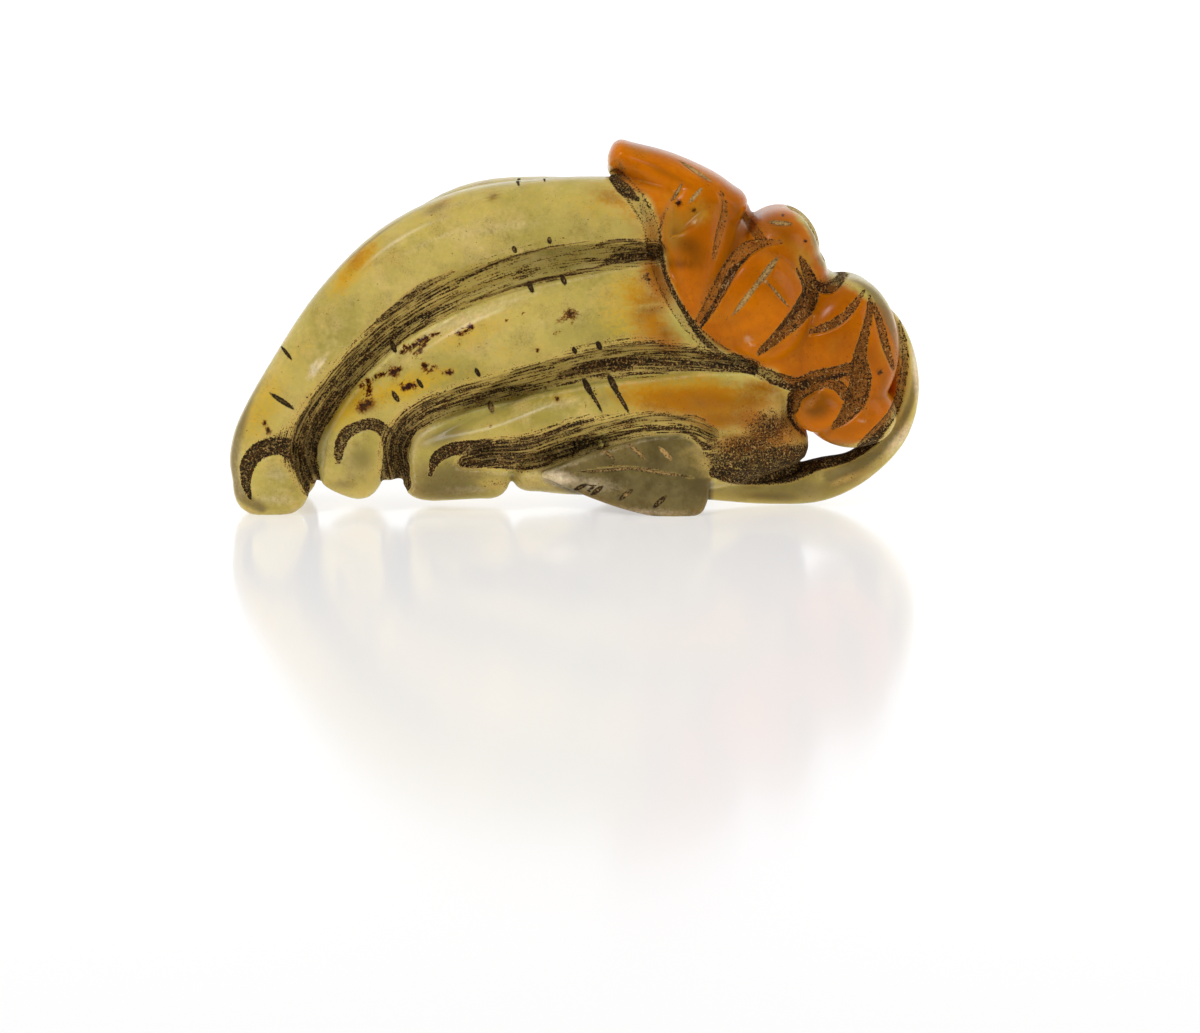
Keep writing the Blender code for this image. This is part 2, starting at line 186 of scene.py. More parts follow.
# Wide hollows between the fingers: across and down in the photograph's pixels, half width and soil.
HOLLOWS = {
    "under_top_finger": [
        (655, 252, 10, 1.1), (600, 256, 15, 0.64), (540, 265, 18, 0.52), (490, 280, 18, 0.64),
        (440, 302, 17, 0.9), (400, 326, 16, 0.98), (365, 356, 15, 1), (334, 391, 15, 1.05),
        (311, 426, 16, 1.15), (304, 452, 16, 1.3), (312, 484, 10, 1.2),
    ],
    "under_middle_finger": [
        (752, 367, 6, 1.4), (700, 361, 12, 1.15), (650, 359, 18, 1), (600, 364, 18, 0.86),
        (540, 377, 16, 0.8), (490, 390, 14, 0.88), (440, 406, 13, 1), (408, 426, 13, 1.15),
        (397, 452, 14, 1.25), (403, 484, 10, 1.2),
    ],
    "under_lower_finger": [
        (712, 434, 8, 0.8), (690, 425, 11, 0.8), (650, 424, 13, 0.85), (600, 434, 16, 0.9),
        (560, 446, 18, 1), (530, 455, 18, 1.1), (490, 457, 13, 1.2), (465, 462, 8, 1.2),
    ],
}
# The sharp floor of each hollow, close to its lower side.
FLOORS = {
    "under_top_finger": [
        (650, 258, 5), (600, 263, 8), (540, 275, 9), (490, 289, 9), (440, 311, 9), (400, 335, 9),
        (368, 364, 9), (340, 396, 9), (320, 430, 10), (316, 484, 7),
    ],
    "under_middle_finger": [
        (752, 368, 5), (700, 367, 9), (650, 369, 9), (600, 373, 9), (540, 385, 8), (490, 397, 8),
        (445, 412, 9), (412, 432, 10), (403, 455, 10), (406, 484, 7),
    ],
    "under_lower_finger": [
        (704, 430, 4), (650, 431, 5), (600, 442, 7), (560, 454, 10), (530, 461, 11), (500, 460, 10),
        (480, 455, 8),
    ],
}
# Channels that curl round the finger tips, part the petals and follow the stem.
TIP_CURLS = {
    "top_tip": [
        (250, 498, 2), (246, 483, 5), (248, 465, 8), (258, 452, 9), (276, 446, 9), (292, 451, 9),
        (301, 466, 7), (306, 482, 6), (309, 495, 2),
    ],
    "middle_tip": [
        (338, 461, 3.5), (340, 446, 6), (346, 434, 6.5), (360, 426, 6), (376, 425, 6.5), (388, 437, 7),
        (389, 456, 6), (383, 479, 3),
    ],
    "lower_tip": [(430, 475, 2), (436, 459, 6), (450, 450, 7), (468, 447, 7), (486, 449, 9)],
}
PETAL_CUTS = {
    "calyx": [
        (616, 176, 8), (634, 196, 9), (649, 222, 8), (655, 248, 8), (661, 275, 7), (673, 301, 7),
        (690, 326, 7), (712, 346, 7), (740, 362, 6), (775, 379, 7),
    ],
    "pointed_petal_side": [
        (781, 242, 2), (765, 243, 4), (750, 247, 7), (735, 261, 8), (722, 283, 8), (710, 306, 7),
        (698, 325, 5),
    ],
    "crown_notch": [(744, 215, 3), (756, 232, 5), (764, 242, 4)],
    "broad_petal_side": [
        (800, 256, 2), (806, 269, 5), (812, 285, 7), (807, 302, 10), (795, 319, 9), (777, 337, 6),
        (759, 353, 3),
    ],
    "shoulder_notch": [(815, 284, 5), (828, 289, 5), (840, 279, 5), (847, 268, 4)],
    "side_petal_foot": [
        (760, 371, 4), (780, 379, 6), (798, 384, 7), (816, 376, 6), (840, 371, 6), (858, 366, 7),
    ],
    "rim_petal_edge": [
        (870, 297, 2), (869, 315, 4), (865, 334, 5), (860, 356, 7), (861, 378, 11), (856, 399, 11),
        (845, 416, 7), (834, 427, 3),
    ],
    "bud_edge": [
        (793, 408, 6), (797, 396, 7), (808, 388, 7), (822, 383, 6), (838, 386, 6), (846, 396, 6),
    ],
    "stem_inside": [
        (899, 322, 2), (905, 350, 4), (903, 380, 4), (893, 412, 5), (876, 433, 6), (862, 446, 5),
    ],
    "stem_foot": [
        (714, 472, 5), (745, 476, 6), (775, 474, 7), (803, 463, 7), (828, 462, 5), (851, 454, 4),
        (874, 441, 4),
    ],
}
VEINS = {
    "pointed_petal_vein": [(721, 193, 2), (725, 209, 3.4), (719, 234, 3.6), (714, 258, 2)],
    "side_petal_vein": [(811, 331, 3), (828, 326, 4.5), (843, 317, 4.5), (855, 304, 4), (864, 291, 2)],
    "rim_petal_vein": [(871, 299, 2), (880, 323, 4), (886, 346, 4), (893, 368, 2)],
    "crown_edge": [(790, 207, 1.5), (803, 215, 2), (816, 234, 2.2), (825, 259, 2)],
    "leaf_midrib": [(574, 473, 1.2), (600, 469, 2), (622, 467, 2.2), (653, 471, 2.2), (693, 478, 1.2)],
}
# How much soil a narrow cut holds, where it isn't the usual amount.
USUAL_SOIL = 0.95
CUT_SOIL = {
    "top_tip": 1.45, "middle_tip": 1.15, "lower_tip": 1.35, "calyx": 0.62, "pointed_petal_side": 0.75,
    "crown_notch": 0.75, "shoulder_notch": 1.1, "broad_petal_side": 1, "rim_petal_edge": 0.95,
    "stem_foot": 1.35, "stem_inside": 0.9, "leaf_midrib": 0.5, "pointed_petal_vein": 0.75,
    "crown_edge": 0.8,
}
# Dark lines where the soil lies thickest: across, down, half width and soil.
SOIL_LINES = {
    "hollow_crest": [(366, 332, 2, 0.8), (392, 311, 4, 1.15), (420, 290, 5, 1.15), (455, 270, 2, 0.9)],
    "hollow_crest_2": [(455, 281, 1.2, 1), (500, 262, 1.6, 1.1), (540, 250, 1.4, 1), (590, 240, 1, 0.9)],
    "top_hollow_thread": [(597, 245, 1.2, 1.3), (615, 241, 1.6, 1.8), (638, 241, 1.4, 1.6)],
    "top_hollow_end": [(600, 266, 2, 1), (618, 258, 4, 1.7), (640, 254, 5, 1.9), (654, 256, 3, 1.6)],
    "top_hollow_foot": [
        (480, 300, 1.4, 1.1), (515, 287, 1.6, 1.2), (560, 276, 2, 1.2), (600, 268, 2, 1.2),
    ],
    "middle_hollow_core": [
        (560, 376, 3, 1.3), (593, 366, 4.5, 1.7), (640, 361, 4, 1.6), (692, 368, 2, 1.4),
    ],
    "middle_hollow_slot": [(716, 359, 2, 1.8), (735, 364, 4.5, 2.2), (754, 371, 3, 2)],
    "low_hollow_crest": [
        (480, 441, 1.6, 1.2), (533, 438, 2, 1.3), (566, 427, 2, 1.4), (592, 420, 1.4, 1.2),
    ],
    "calyx_top": [(613, 178, 3, 1.5), (624, 189, 5, 1.9), (637, 199, 2, 1.6)],
    "calyx_side": [
        (682, 184, 1, 0.9), (669, 204, 1.4, 0.9), (661, 224, 1.4, 1), (661, 250, 1.6, 1.3),
        (667, 279, 1.8, 1.6), (684, 311, 2, 1.7), (703, 339, 2.4, 1.8), (728, 360, 2, 1.7),
    ],
    "calyx_left": [(645, 262, 1, 1), (651, 285, 1.4, 1.2), (664, 309, 1.2, 1.1), (672, 330, 1, 1)],
    "pointed_petal_foot": [
        (745, 259, 1.6, 1.5), (729, 275, 2, 1.7), (718, 297, 1.4, 1.4), (702, 324, 2, 1.6),
    ],
    "broad_petal_foot": [
        (797, 269, 1.2, 1.4), (804, 288, 1.6, 1.5), (800, 305, 2, 1.6), (780, 329, 1.4, 1.5),
    ],
    "bud_crease": [(770, 381, 1.4, 1.6), (793, 387, 3, 1.8), (815, 380, 2.4, 1.8), (843, 374, 1.4, 1.6)],
    "bud_left": [(791, 395, 2.4, 1.8), (789, 410, 1.8, 1.6), (793, 423, 1.4, 1.5), (806, 436, 1.2, 1.4)],
    "stem_crust": [
        (713, 474, 3, 1.5), (735, 479, 4, 1.7), (765, 478, 5, 1.8), (790, 474, 6, 2), (815, 463, 6, 2),
        (845, 458, 4, 1.9), (868, 446, 3, 1.8), (884, 428, 3, 1.5),
    ],
    "top_hollow_core": [(352, 374, 3, 1.2), (327, 405, 4, 1.3), (309, 440, 7, 1.6), (308, 470, 6, 1.6)],
    "middle_hollow_left": [
        (420, 424, 2, 1.2), (402, 436, 5, 1.5), (396, 456, 6, 1.6), (400, 478, 4, 1.4),
    ],
    "low_hollow_core": [(470, 452, 3, 1.4), (500, 458, 5, 1.5), (540, 456, 4, 1.4), (572, 450, 2, 1.2)],
    "leaf_edge": [
        (602, 440, 1.2, 1.2), (640, 430, 1.4, 1.3), (682, 430, 1.6, 1.4), (703, 446, 1.6, 1.6),
        (712, 462, 1.6, 1.6),
    ],
}
BACK_CUTS = ("calyx", "broad_petal_side", "side_petal_foot", "stem_foot")
# Nicks: from, to, half width and how pale the soil in them is.
NICKS = [
    (281, 346, 292, 360, 1.8, 0.1), (270, 393, 294, 409, 2.6, 0.1), (391, 341, 396, 353, 2.7, 0.2),
    (513, 246, 516, 253, 2.4, 0.3), (549, 237, 550, 244, 2.4, 0.3), (528, 281, 533, 293, 2.7, 0.2),
    (561, 275, 566, 285, 2.7, 0.2), (475, 368, 480, 377, 2.3, 0), (392, 391, 399, 402, 2.6, 0.2),
    (417, 379, 423, 388, 2.2, 0.1), (573, 347, 576, 354, 2.4, 0), (597, 341, 601, 350, 2.8, 0),
    (489, 401, 493, 413, 3.1, 0.6), (583, 378, 592, 396, 3.2, 0.2), (590, 390, 602, 412, 1.7, 0.2),
    (608, 374, 618, 394, 3.4, 0.2), (615, 388, 629, 413, 2.2, 0.2), (778, 257, 756, 286, 3.4, 0.7),
    (758, 283, 733, 315, 2.8, 0.8), (768, 283, 789, 307, 1.4, 0.6), (680, 161, 712, 182, 1.8, 0.8),
    (682, 184, 673, 200, 1.6, 0.6), (702, 188, 689, 203, 2.2, 0.8), (769, 222, 792, 224, 2.4, 0.7),
    (602, 449, 615, 460, 2, 0.6), (628, 443, 646, 460, 2.4, 0.7), (659, 447, 672, 460, 2.6, 0.9),
    (574, 490, 587, 484, 2.2, 0.2), (591, 495, 603, 486, 2.6, 0.3), (619, 500, 633, 489, 2.6, 0.4),
    (653, 508, 666, 496, 2.6, 0.3), (516, 176, 519, 186, 1.6, 0.2), (543, 174, 545, 182, 1.2, 0.2),
    (578, 472, 640, 468, 1.5, 0.5), (628, 468, 690, 477, 1.6, 0.6),
]
BACK_NICKS = NICKS[2:9]
# Chatter of the wheel across the lowest hollow: first mark, last mark, lean and how many.
CHATTER = {"first": (552, 433), "last": (592, 420), "lean": (3, 11), "marks": 8, "half_width": 1.6}

# Where the orange layer of the stone shows, and the leaf, as outlines in pixels.
ORANGE_LAYER = [
    (606, 165), (622, 184), (648, 200), (657, 216), (660, 245), (667, 275), (682, 310), (700, 332),
    (722, 350), (748, 363), (772, 372), (790, 388), (785, 413), (800, 436), (823, 446), (863, 445),
    (879, 432), (892, 415), (902, 392), (905, 365), (900, 332), (890, 312), (876, 300), (850, 286),
    (833, 283), (822, 262), (812, 236), (797, 214), (776, 196), (754, 205), (748, 181), (712, 150),
    (640, 128), (600, 138),
]
LEAF_OUTLINE = [
    (537, 470), (573, 454), (611, 443), (642, 435), (680, 433), (695, 441), (712, 458), (714, 475),
    (712, 520), (640, 522), (600, 508), (546, 484),
]

# Clouds in the stone: across, down, half length and half width in pixels, turn in degrees, strength.
CLOUDS = {
    "honey": [
        (674, 226, 14, 24, 0, 1), (696, 214, 22, 14, 0, 0.8), (664, 250, 7, 20, 0, 0.7),
        (803, 262, 11, 24, -16, 0.9), (795, 246, 20, 8, 20, 0.5), (762, 334, 26, 10, -20, 0.35),
        (812, 405, 15, 12, 0, 0.8), (884, 346, 7, 22, 0, 0.5), (690, 320, 8, 12, 0, 0.3),
        (640, 146, 30, 7, 14, 0.4), (836, 340, 20, 10, -20, 0.3),
    ],
    "yellow": [
        (262, 408, 46, 22, -62, 0.6), (352, 404, 44, 16, -38, 0.9), (404, 388, 60, 15, -20, 0.95),
        (690, 398, 100, 20, 2, 1), (300, 352, 40, 16, -50, 0.25), (625, 318, 44, 34, 60, 0.55),
        (636, 300, 26, 40, -24, 0.7), (600, 210, 52, 26, 10, 0.35), (520, 352, 60, 16, -12, 0.3),
        (700, 392, 70, 18, 4, 0.9), (470, 372, 40, 14, -15, 0.35), (556, 398, 50, 12, -12, 0.35),
        (354, 266, 40, 13, -50, 1), (470, 334, 60, 20, -20, 0.4),
    ],
    "amber": [
        (358, 260, 34, 9, -50, 0.6), (342, 288, 22, 9, -52, 0.3), (700, 400, 84, 19, 3, 1.2),
        (650, 318, 18, 40, -26, 1), (627, 214, 14, 26, -30, 0.5), (762, 388, 20, 10, 0, 0.9),
        (364, 398, 34, 10, -36, 0.3), (352, 398, 40, 14, -40, 0.2), (430, 371, 26, 8, -20, 0.35),
        (506, 350, 16, 10, 0, 0.3), (448, 200, 60, 9, -12, 0.3), (690, 378, 60, 6, 2, 0.4),
        (650, 200, 16, 10, 40, 0.3), (652, 236, 14, 30, 0, 0.7), (657, 280, 12, 36, -22, 1.1),
        (668, 340, 14, 20, -40, 0.9), (772, 434, 44, 26, -10, 0.9), (738, 444, 30, 16, 0, 0.8),
        (610, 196, 28, 15, 20, 0.45), (722, 418, 38, 16, 0, 1), (748, 418, 24, 18, 0, 1),
        (909, 370, 6, 44, 0, 0.3), (900, 420, 8, 20, 30, 0.4), (640, 340, 14, 20, -30, 0.5),
    ],
    # Brown clouds: darker stone, and painted shade under the stem, round the bud and in the petals'
    # crevices.
    "brown_and_shade": [
        (494, 197, 7, 6, -50, 0.8), (430, 222, 60, 7, -24, 0.25), (540, 183, 70, 5, -3, 0.22),
        (728, 226, 36, 20, 80, 0.45), (696, 250, 30, 12, 60, 0.35), (640, 176, 34, 10, 40, 0.35),
        (770, 214, 26, 8, 10, 0.3), (867, 355, 20, 12, 80, 0.5), (686, 264, 26, 6, 4, 0.8),
        (716, 402, 70, 15, 2, 0.45), (660, 312, 9, 34, -28, 0.7), (740, 318, 26, 9, -30, 0.35),
        (752, 487, 14, 4, 0, 0.5), (736, 210, 9, 14, -20, 0.6), (664, 172, 40, 5, 28, 0.5),
        (760, 398, 40, 22, 0, 0.55), (352, 262, 18, 6, -50, 0.3), (390, 268, 14, 20, -30, 0.22),
        (433, 210, 40, 8, -28, 0.25), (640, 226, 14, 30, 0, 0.35), (690, 412, 60, 9, 2, 0.35),
        (816, 405, 20, 16, 0, 1.05), (620, 236, 24, 40, 80, 0.18), (784, 234, 26, 14, 40, 0.55),
        (838, 430, 46, 9, -8, 0.4), (884, 384, 8, 18, 0, 0.45), (722, 420, 34, 12, 0, 0.5),
        (745, 418, 24, 12, 0, 0.5), (606, 194, 26, 14, 20, 0.35), (652, 235, 12, 28, 0, 0.4),
        (692, 464, 14, 12, 0, 0.35), (760, 496, 18, 5, 0, 0.7), (690, 248, 24, 14, 30, 0.8),
        (657, 276, 9, 34, -22, 0.8), (664, 334, 8, 14, -40, 0.6), (772, 346, 16, 10, -30, 0.6),
        (848, 477, 28, 8, -24, 0.9), (782, 497, 30, 6, 0, 0.4), (748, 336, 30, 9, -30, 0.35),
        (448, 490, 44, 10, 0, 0.35), (845, 436, 22, 10, 0, 0.3), (366, 406, 11, 7, -20, 1),
        (365, 400, 24, 12, -30, 0.3),
    ],
    # Grey clouds: grey stone, and painted shade that makes the lower parts and the tips' undersides
    # darker.
    "grey_and_shade": [
        (448, 478, 54, 26, -5, 0.85), (360, 478, 30, 16, 0, 0.5), (276, 500, 36, 16, 0, 0.3),
        (800, 490, 110, 16, -4, 0.7), (880, 466, 36, 18, -40, 0.4), (566, 498, 60, 12, 4, 0.8),
        (435, 209, 20, 6, -24, 0.5), (377, 262, 8, 5, -30, 0.5), (366, 309, 10, 8, 0, 0.4),
        (600, 190, 34, 8, 0, 0.3), (820, 250, 24, 5, 62, 0.7), (446, 436, 30, 13, -24, 0.75),
        (362, 460, 22, 17, 0, 0.7), (448, 488, 56, 16, 0, 1), (610, 398, 30, 13, 0, 0.5),
        (780, 496, 34, 8, 0, 0.9), (345, 484, 20, 8, 0, 0.6), (380, 252, 30, 7, -44, 0.35),
        (615, 196, 14, 10, 0, 0.35),
    ],
    # Milky clouds: mostly painted highlights, glints, sheen along the fingers and a painted reflection low
    # down, with some pale milky stone.
    "milk_and_highlight": [
        (317, 366, 9, 5, -45, 1), (312, 374, 8, 4, -50, 0.7), (748, 339, 5, 4, 0, 0.5),
        (751, 345, 4, 2, 0, 0.4), (694, 222, 2, 2, 0, 0.8), (862, 420, 5, 3, 30, 0.4),
        (558, 478, 20, 9, 10, 0.7), (640, 512, 60, 5, 2, 0.35), (279, 474, 18, 9, 0, 0.35),
        (470, 318, 60, 9, -22, 0.35), (500, 228, 60, 7, -10, 0.3), (470, 200, 60, 5, -16, 0.2),
        (560, 318, 90, 8, -14, 0.16), (505, 303, 60, 5, -18, 0.3), (420, 300, 40, 5, -30, 0.2),
        (900, 438, 26, 6, -52, 0.7), (915, 362, 44, 4, 86, 0.75), (440, 238, 60, 4, -24, 0.3),
        (732, 277, 5, 2, -60, 1), (727, 284, 6, 2, -58, 1.2), (722, 292, 4, 1.6, -60, 0.9),
        (240, 470, 8, 36, 0, 0.3), (470, 490, 40, 6, 0, 0.25), (405, 478, 5, 18, 0, 0.6),
        (590, 484, 30, 9, 6, 0.4), (560, 404, 44, 7, -8, 0.3), (276, 500, 26, 6, 0, 0.35),
    ],
}
# Thin rims where the stone turns grey, partly the thin stone and partly painted shade at the outline
# where the skin turns from the eye: lines with half widths.
GREY_RIMS_AND_EDGE_SHADE = {
    "first_tip": [
        (262, 372, 4), (245, 404, 8), (235, 440, 9), (232, 470, 9), (240, 494, 8), (262, 508, 6),
    ],
    "top_edge": [
        (300, 312, 2), (350, 256, 3), (400, 217, 4), (450, 190, 4), (520, 178, 4), (600, 176, 3),
    ],
    "rim": [(845, 272, 6), (866, 282, 8), (880, 300, 8), (893, 328, 6), (903, 360, 3)],
    "crown_rim": [(782, 203, 3), (800, 212, 4), (815, 235, 5), (824, 262, 6)],
    "stem": [(905, 318, 4), (915, 350, 4), (914, 390, 4), (900, 425, 5), (872, 455, 8), (830, 476, 10)],
}
# Soil that lies outside the cuts, as clouds; the one under the stem's lower right is painted shade.
SMEARS_AND_SHADE = [
    (768, 428, 38, 28, -20, 1.2), (748, 448, 60, 22, -8, 1.25), (712, 442, 34, 14, 30, 1),
    (770, 462, 70, 14, -5, 1.5), (730, 462, 34, 16, 0, 1.4), (645, 212, 38, 15, 66, 0.85),
    (657, 300, 40, 10, 66, 0.8), (652, 258, 16, 12, 20, 1), (618, 214, 40, 30, 60, 0.34),
    (766, 230, 22, 10, 30, 0.55), (278, 437, 24, 9, -24, 1), (392, 440, 12, 22, 0, 1),
    (620, 262, 40, 10, -4, 0.7), (708, 295, 34, 10, -62, 0.62), (756, 228, 18, 12, 40, 0.72),
    (832, 284, 22, 10, 0, 0.95), (800, 308, 18, 12, -50, 0.75), (860, 388, 30, 9, 78, 0.9),
    (828, 378, 46, 9, -4, 1), (790, 452, 80, 12, -4, 1.4), (872, 440, 28, 9, -42, 1.3),
    # The smear under the stem's lower right (846, 479) is painted shade.
    (846, 479, 24, 5, -24, 0.7), (898, 376, 56, 6, 88, 0.85), (388, 262, 28, 12, -36, 0.52),
    (500, 484, 30, 8, 8, 0.8), (566, 505, 46, 7, 3, 1), (620, 166, 14, 8, 60, 0.8),
    (390, 470, 18, 16, 0, 1), (312, 488, 16, 10, 0, 0.9), (640, 408, 30, 10, -4, 0.45),
    (700, 400, 56, 16, 8, 0.45), (412, 352, 30, 6, -30, 0.4), (812, 402, 16, 6, -40, 0.7),
    (575, 236, 70, 12, -6, 0.42), (430, 414, 12, 6, -30, 0.5),
]
# Dark red specks: across, down and radius.
SPECKS = [
    (265, 423, 3), (269, 432, 3.5), (362, 407, 7), (369, 403, 6), (408, 349, 3), (414, 345, 3.4),
    (420, 341, 3.8), (426, 338, 3), (433, 335, 3), (438, 333, 2.4), (458, 333, 3.4), (463, 334, 2.4),
    (471, 327, 4), (361, 386, 3), (368, 381, 4), (376, 377, 3), (381, 375, 3), (394, 372, 7),
    (399, 369, 4), (346, 392, 4), (343, 394, 3), (369, 390, 4), (488, 295, 4), (479, 299, 2.4),
    (570, 313, 5.5), (559, 323, 5), (575, 322, 4), (554, 333, 2.6), (580, 313, 3), (506, 321, 1.8),
    (523, 314, 2.2), (460, 345, 2), (537, 350, 3), (478, 355, 3), (491, 426, 1.8), (557, 399, 3),
    (420, 350, 4), (415, 354, 3), (424, 346, 3), (425, 366, 5), (440, 370, 4), (450, 372, 4),
    (413, 386, 5), (404, 388, 4), (679, 203, 4.5), (694, 210, 3.5), (783, 215, 2.2), (805, 241, 2.4),
    (402, 352, 3), (405, 346, 2.4), (330, 410, 3), (326, 420, 4), (334, 402, 2.4), (880, 372, 4),
]


def smooth_run(stations, steps):
    """A Catmull-Rom run through the stations, as an array with steps rows for each span."""
    rows = np.array(stations, float)
    padded = np.vstack([2 * rows[0] - rows[1], rows, 2 * rows[-1] - rows[-2]])
    t = (np.arange(steps) / steps)[:, None]
    spans = []
    for before, start, end, after in zip(padded, padded[1:], padded[2:], padded[3:]):
        spans.append(
            start
            + 0.5 * t * (end - before)
            + t**2 * (before - 2.5 * start + 2 * end - 0.5 * after)
            + t**3 * (1.5 * (start - end) + 0.5 * (after - before))
        )
    return np.vstack(spans + [rows[-1:]])


def rise(up, depth):
    """Height above the ground, in shares, of a place in the sketch."""
    return (up - (depth - SKETCH_FOOT_DEPTH) * math.sin(TILT)) / math.cos(TILT)


def squared(part):
    """A cosine or sine drawn outwards, which makes a circle a little squarer."""
    return math.copysign(abs(part) ** (2 / SQUARENESS), part)


def ring_points(centre, along, half_height, half_depth):
    """A squarish ring round the run: its height lies square to the run and its depth along Y."""
    square = Vector((-along.z, 0, along.x))
    angles = [2 * math.pi * k / RING_SIDES for k in range(RING_SIDES)]
    return [
        centre
        + square * half_height * squared(math.cos(a))
        + Vector((0, half_depth * squared(math.sin(a)), 0))
        for a in angles
    ]


def add_limb(stone, run):
    """A closed limb with round ends along rows of x, y, z, half height and half depth, in metres."""
    rings = []
    last = len(run) - 1
    caps = [(squared(math.sin(math.radians(a))), squared(math.cos(math.radians(a)))) for a in CAP_TURNS]
    for i, (x, y, z, high, deep) in enumerate(run):
        ahead = run[min(i + 1, last)]
        behind = run[max(i - 1, 0)]
        along = Vector((ahead[0] - behind[0], 0, ahead[2] - behind[2])).normalized()
        outward = [(0, 1)]
        if i == 0:
            outward = [(-reach, narrow) for reach, narrow in caps[::-1]] + outward
        elif i == last:
            outward += caps
        for reach, narrow in outward:
            centre = Vector((x, y, z)) + along * high * reach
            rings.append(ring_points(centre, along, high * narrow, deep * narrow))
    loops = [[stone.verts.new(p) for p in ring] for ring in rings]
    for first, second in zip(loops, loops[1:]):
        for k in range(RING_SIDES):
            after = (k + 1) % RING_SIDES
            stone.faces.new((first[k], first[after], second[after], second[k]))
    stone.faces.new(loops[0][::-1])
    stone.faces.new(loops[-1])


def place_limb(stations):
    """Sketch stations as smooth rows in metres."""
    return [
        (
            (across - SKETCH_MIDDLE) * SHARE,
            depth * DEPTH_SHARE,
            rise(up, depth) * SHARE,
            high * SHARE,
            deep * DEPTH_SHARE,
        )
        for across, up, depth, high, deep in smooth_run(stations, STEPS_PER_STATION)
    ]


def on_back(run, height=BACK_HEIGHT):
    """Rows in metres, mirrored to the back and, unless told otherwise, set a little lower."""
    return [(x, -y, z * height, high, deep) for x, y, z, high, deep in run]


def add_petal(stone, petal, side):
    """A petal with a flat face and a round rim, on the front (-1) or mirrored on the back (1)."""
    across, up, depth, wide, high, deep, turn = petal
    height = rise(up, depth) * (BACK_HEIGHT if side > 0 else 1)
    centre = Vector(((across - SKETCH_MIDDLE) * SHARE, -side * depth * DEPTH_SHARE, height * SHARE))
    scale = Matrix.Diagonal((wide * SHARE, deep * DEPTH_SHARE, high * SHARE, 1))
    turned = Matrix.Rotation(math.radians(turn), 4, "Y")
    pillow = bmesh.ops.create_uvsphere(stone, u_segments=RING_SIDES, v_segments=RING_SIDES, radius=1)
    for vert in pillow["verts"]:
        spread = math.hypot(vert.co.x, vert.co.z)
        flatter = spread ** (2 / PILLOW_SQUARENESS - 1) if spread > 0 else 0
        depth_out = math.copysign(abs(vert.co.y) ** (2 / PILLOW_SQUARENESS), vert.co.y)
        vert.co = Vector((vert.co.x * flatter, depth_out, vert.co.z * flatter))
    bmesh.ops.transform(stone, verts=pillow["verts"], matrix=Matrix.Translation(centre) @ turned @ scale)


def stem_run():
    """The stem that loops from the crown round the right end to the underside."""
    share_wide = STEM_WIDTH / 2 / SHARE
    share_deep = STEM_DEPTH / 2 / DEPTH_SHARE
    return place_limb([
        (*place, share_wide * swell, share_deep * swell) for place, swell in zip(STEM, STEM_SWELL)
    ])


def leaf_run():
    """The small leaf that lies against the underside and carries the pendant."""
    return place_limb([(*station, LEAF_THICKNESS / 2 / DEPTH_SHARE) for station in LEAF])


def rough_stone():
    """Every limb and petal as overlapping closed shells."""
    stone = bmesh.new()
    for limb in (UNDERSIDE, PALM, CORE, TOP_FINGER, BACK_TOP_FINGER):
        add_limb(stone, place_limb(limb))
    for limb in (MIDDLE_FINGER, LOWER_FINGER, LOWER_TIP, LEAF_RIDGE, POINTED_PETAL):
        run = place_limb(limb)
        add_limb(stone, run)
        add_limb(stone, on_back(run))
    add_limb(stone, leaf_run())
    add_limb(stone, on_back(leaf_run(), height=1))
    for petal in FRONT_PETALS.values():
        add_petal(stone, petal, -1)
    for name in BACK_PETALS:
        add_petal(stone, FRONT_PETALS[name], 1)
    for petal in TOP_PETALS.values():
        add_petal(stone, petal, -1)
    add_limb(stone, stem_run())
    bmesh.ops.recalc_face_normals(stone, faces=stone.faces)
    mesh = bpy.data.meshes.new("rough_stone")
    stone.to_mesh(mesh)
    stone.free()
    return mesh


def spindle(nick):
    """A nick as a line that is widest in the middle, as a wheel leaves it."""
    x1, y1, x2, y2, half = nick[:5]
    return [
        (
            x1 + (x2 - x1) * share,
            y1 + (y2 - y1) * share,
            half * max(NICK_END, math.sin(math.pi * share)) ** NICK_FULLNESS,
        )
        for share in NICK_STATIONS
    ]


def chatter_marks():
    """Short parallel marks across the lowest hollow, where the wheel jumped."""
    first, last, lean = (np.array(CHATTER[key], float) for key in ("first", "last", "lean"))
    middles = [first + (last - first) * share for share in np.linspace(0, 1, CHATTER["marks"])]
    return [spindle((*(middle - lean), *(middle + lean), CHATTER["half_width"])) for middle in middles]


def picture_line(stations):
    """Pixel stations as smooth rows on the picture plane: x, z and half width, in metres."""
    run = smooth_run(stations, STEPS_PER_MARK)
    return np.column_stack([
        (run[:, 0] - PHOTO_WIDTH / 2) * PIXEL,
        (PHOTO_HEIGHT / 2 - run[:, 1]) * PIXEL,
        np.maximum(run[:, 2], LEAST_HALF_WIDTH) * PIXEL,
    ])


def new_object(name, data):
    """An object in the scene, at the origin."""
    made = bpy.data.objects.new(name, data)
    bpy.context.scene.collection.objects.link(made)
    return made


def line_object(name, lines):
    """An object of bare edges on the picture plane that holds each cut's half width at its points."""
    places = []
    edges = []
    widths = []
    for line in lines:
        start = len(places)
        places += [(x, 0, z) for x, z, half in line]
        widths += [half for x, z, half in line]
        edges += [(start + k, start + k + 1) for k in range(len(line) - 1)]
    mesh = bpy.data.meshes.new(name)
    mesh.from_pydata(places, edges, [])
    mesh.attributes.new("half_width", "FLOAT", "POINT").data.foreach_set("value", widths)
    return new_object(name, mesh)


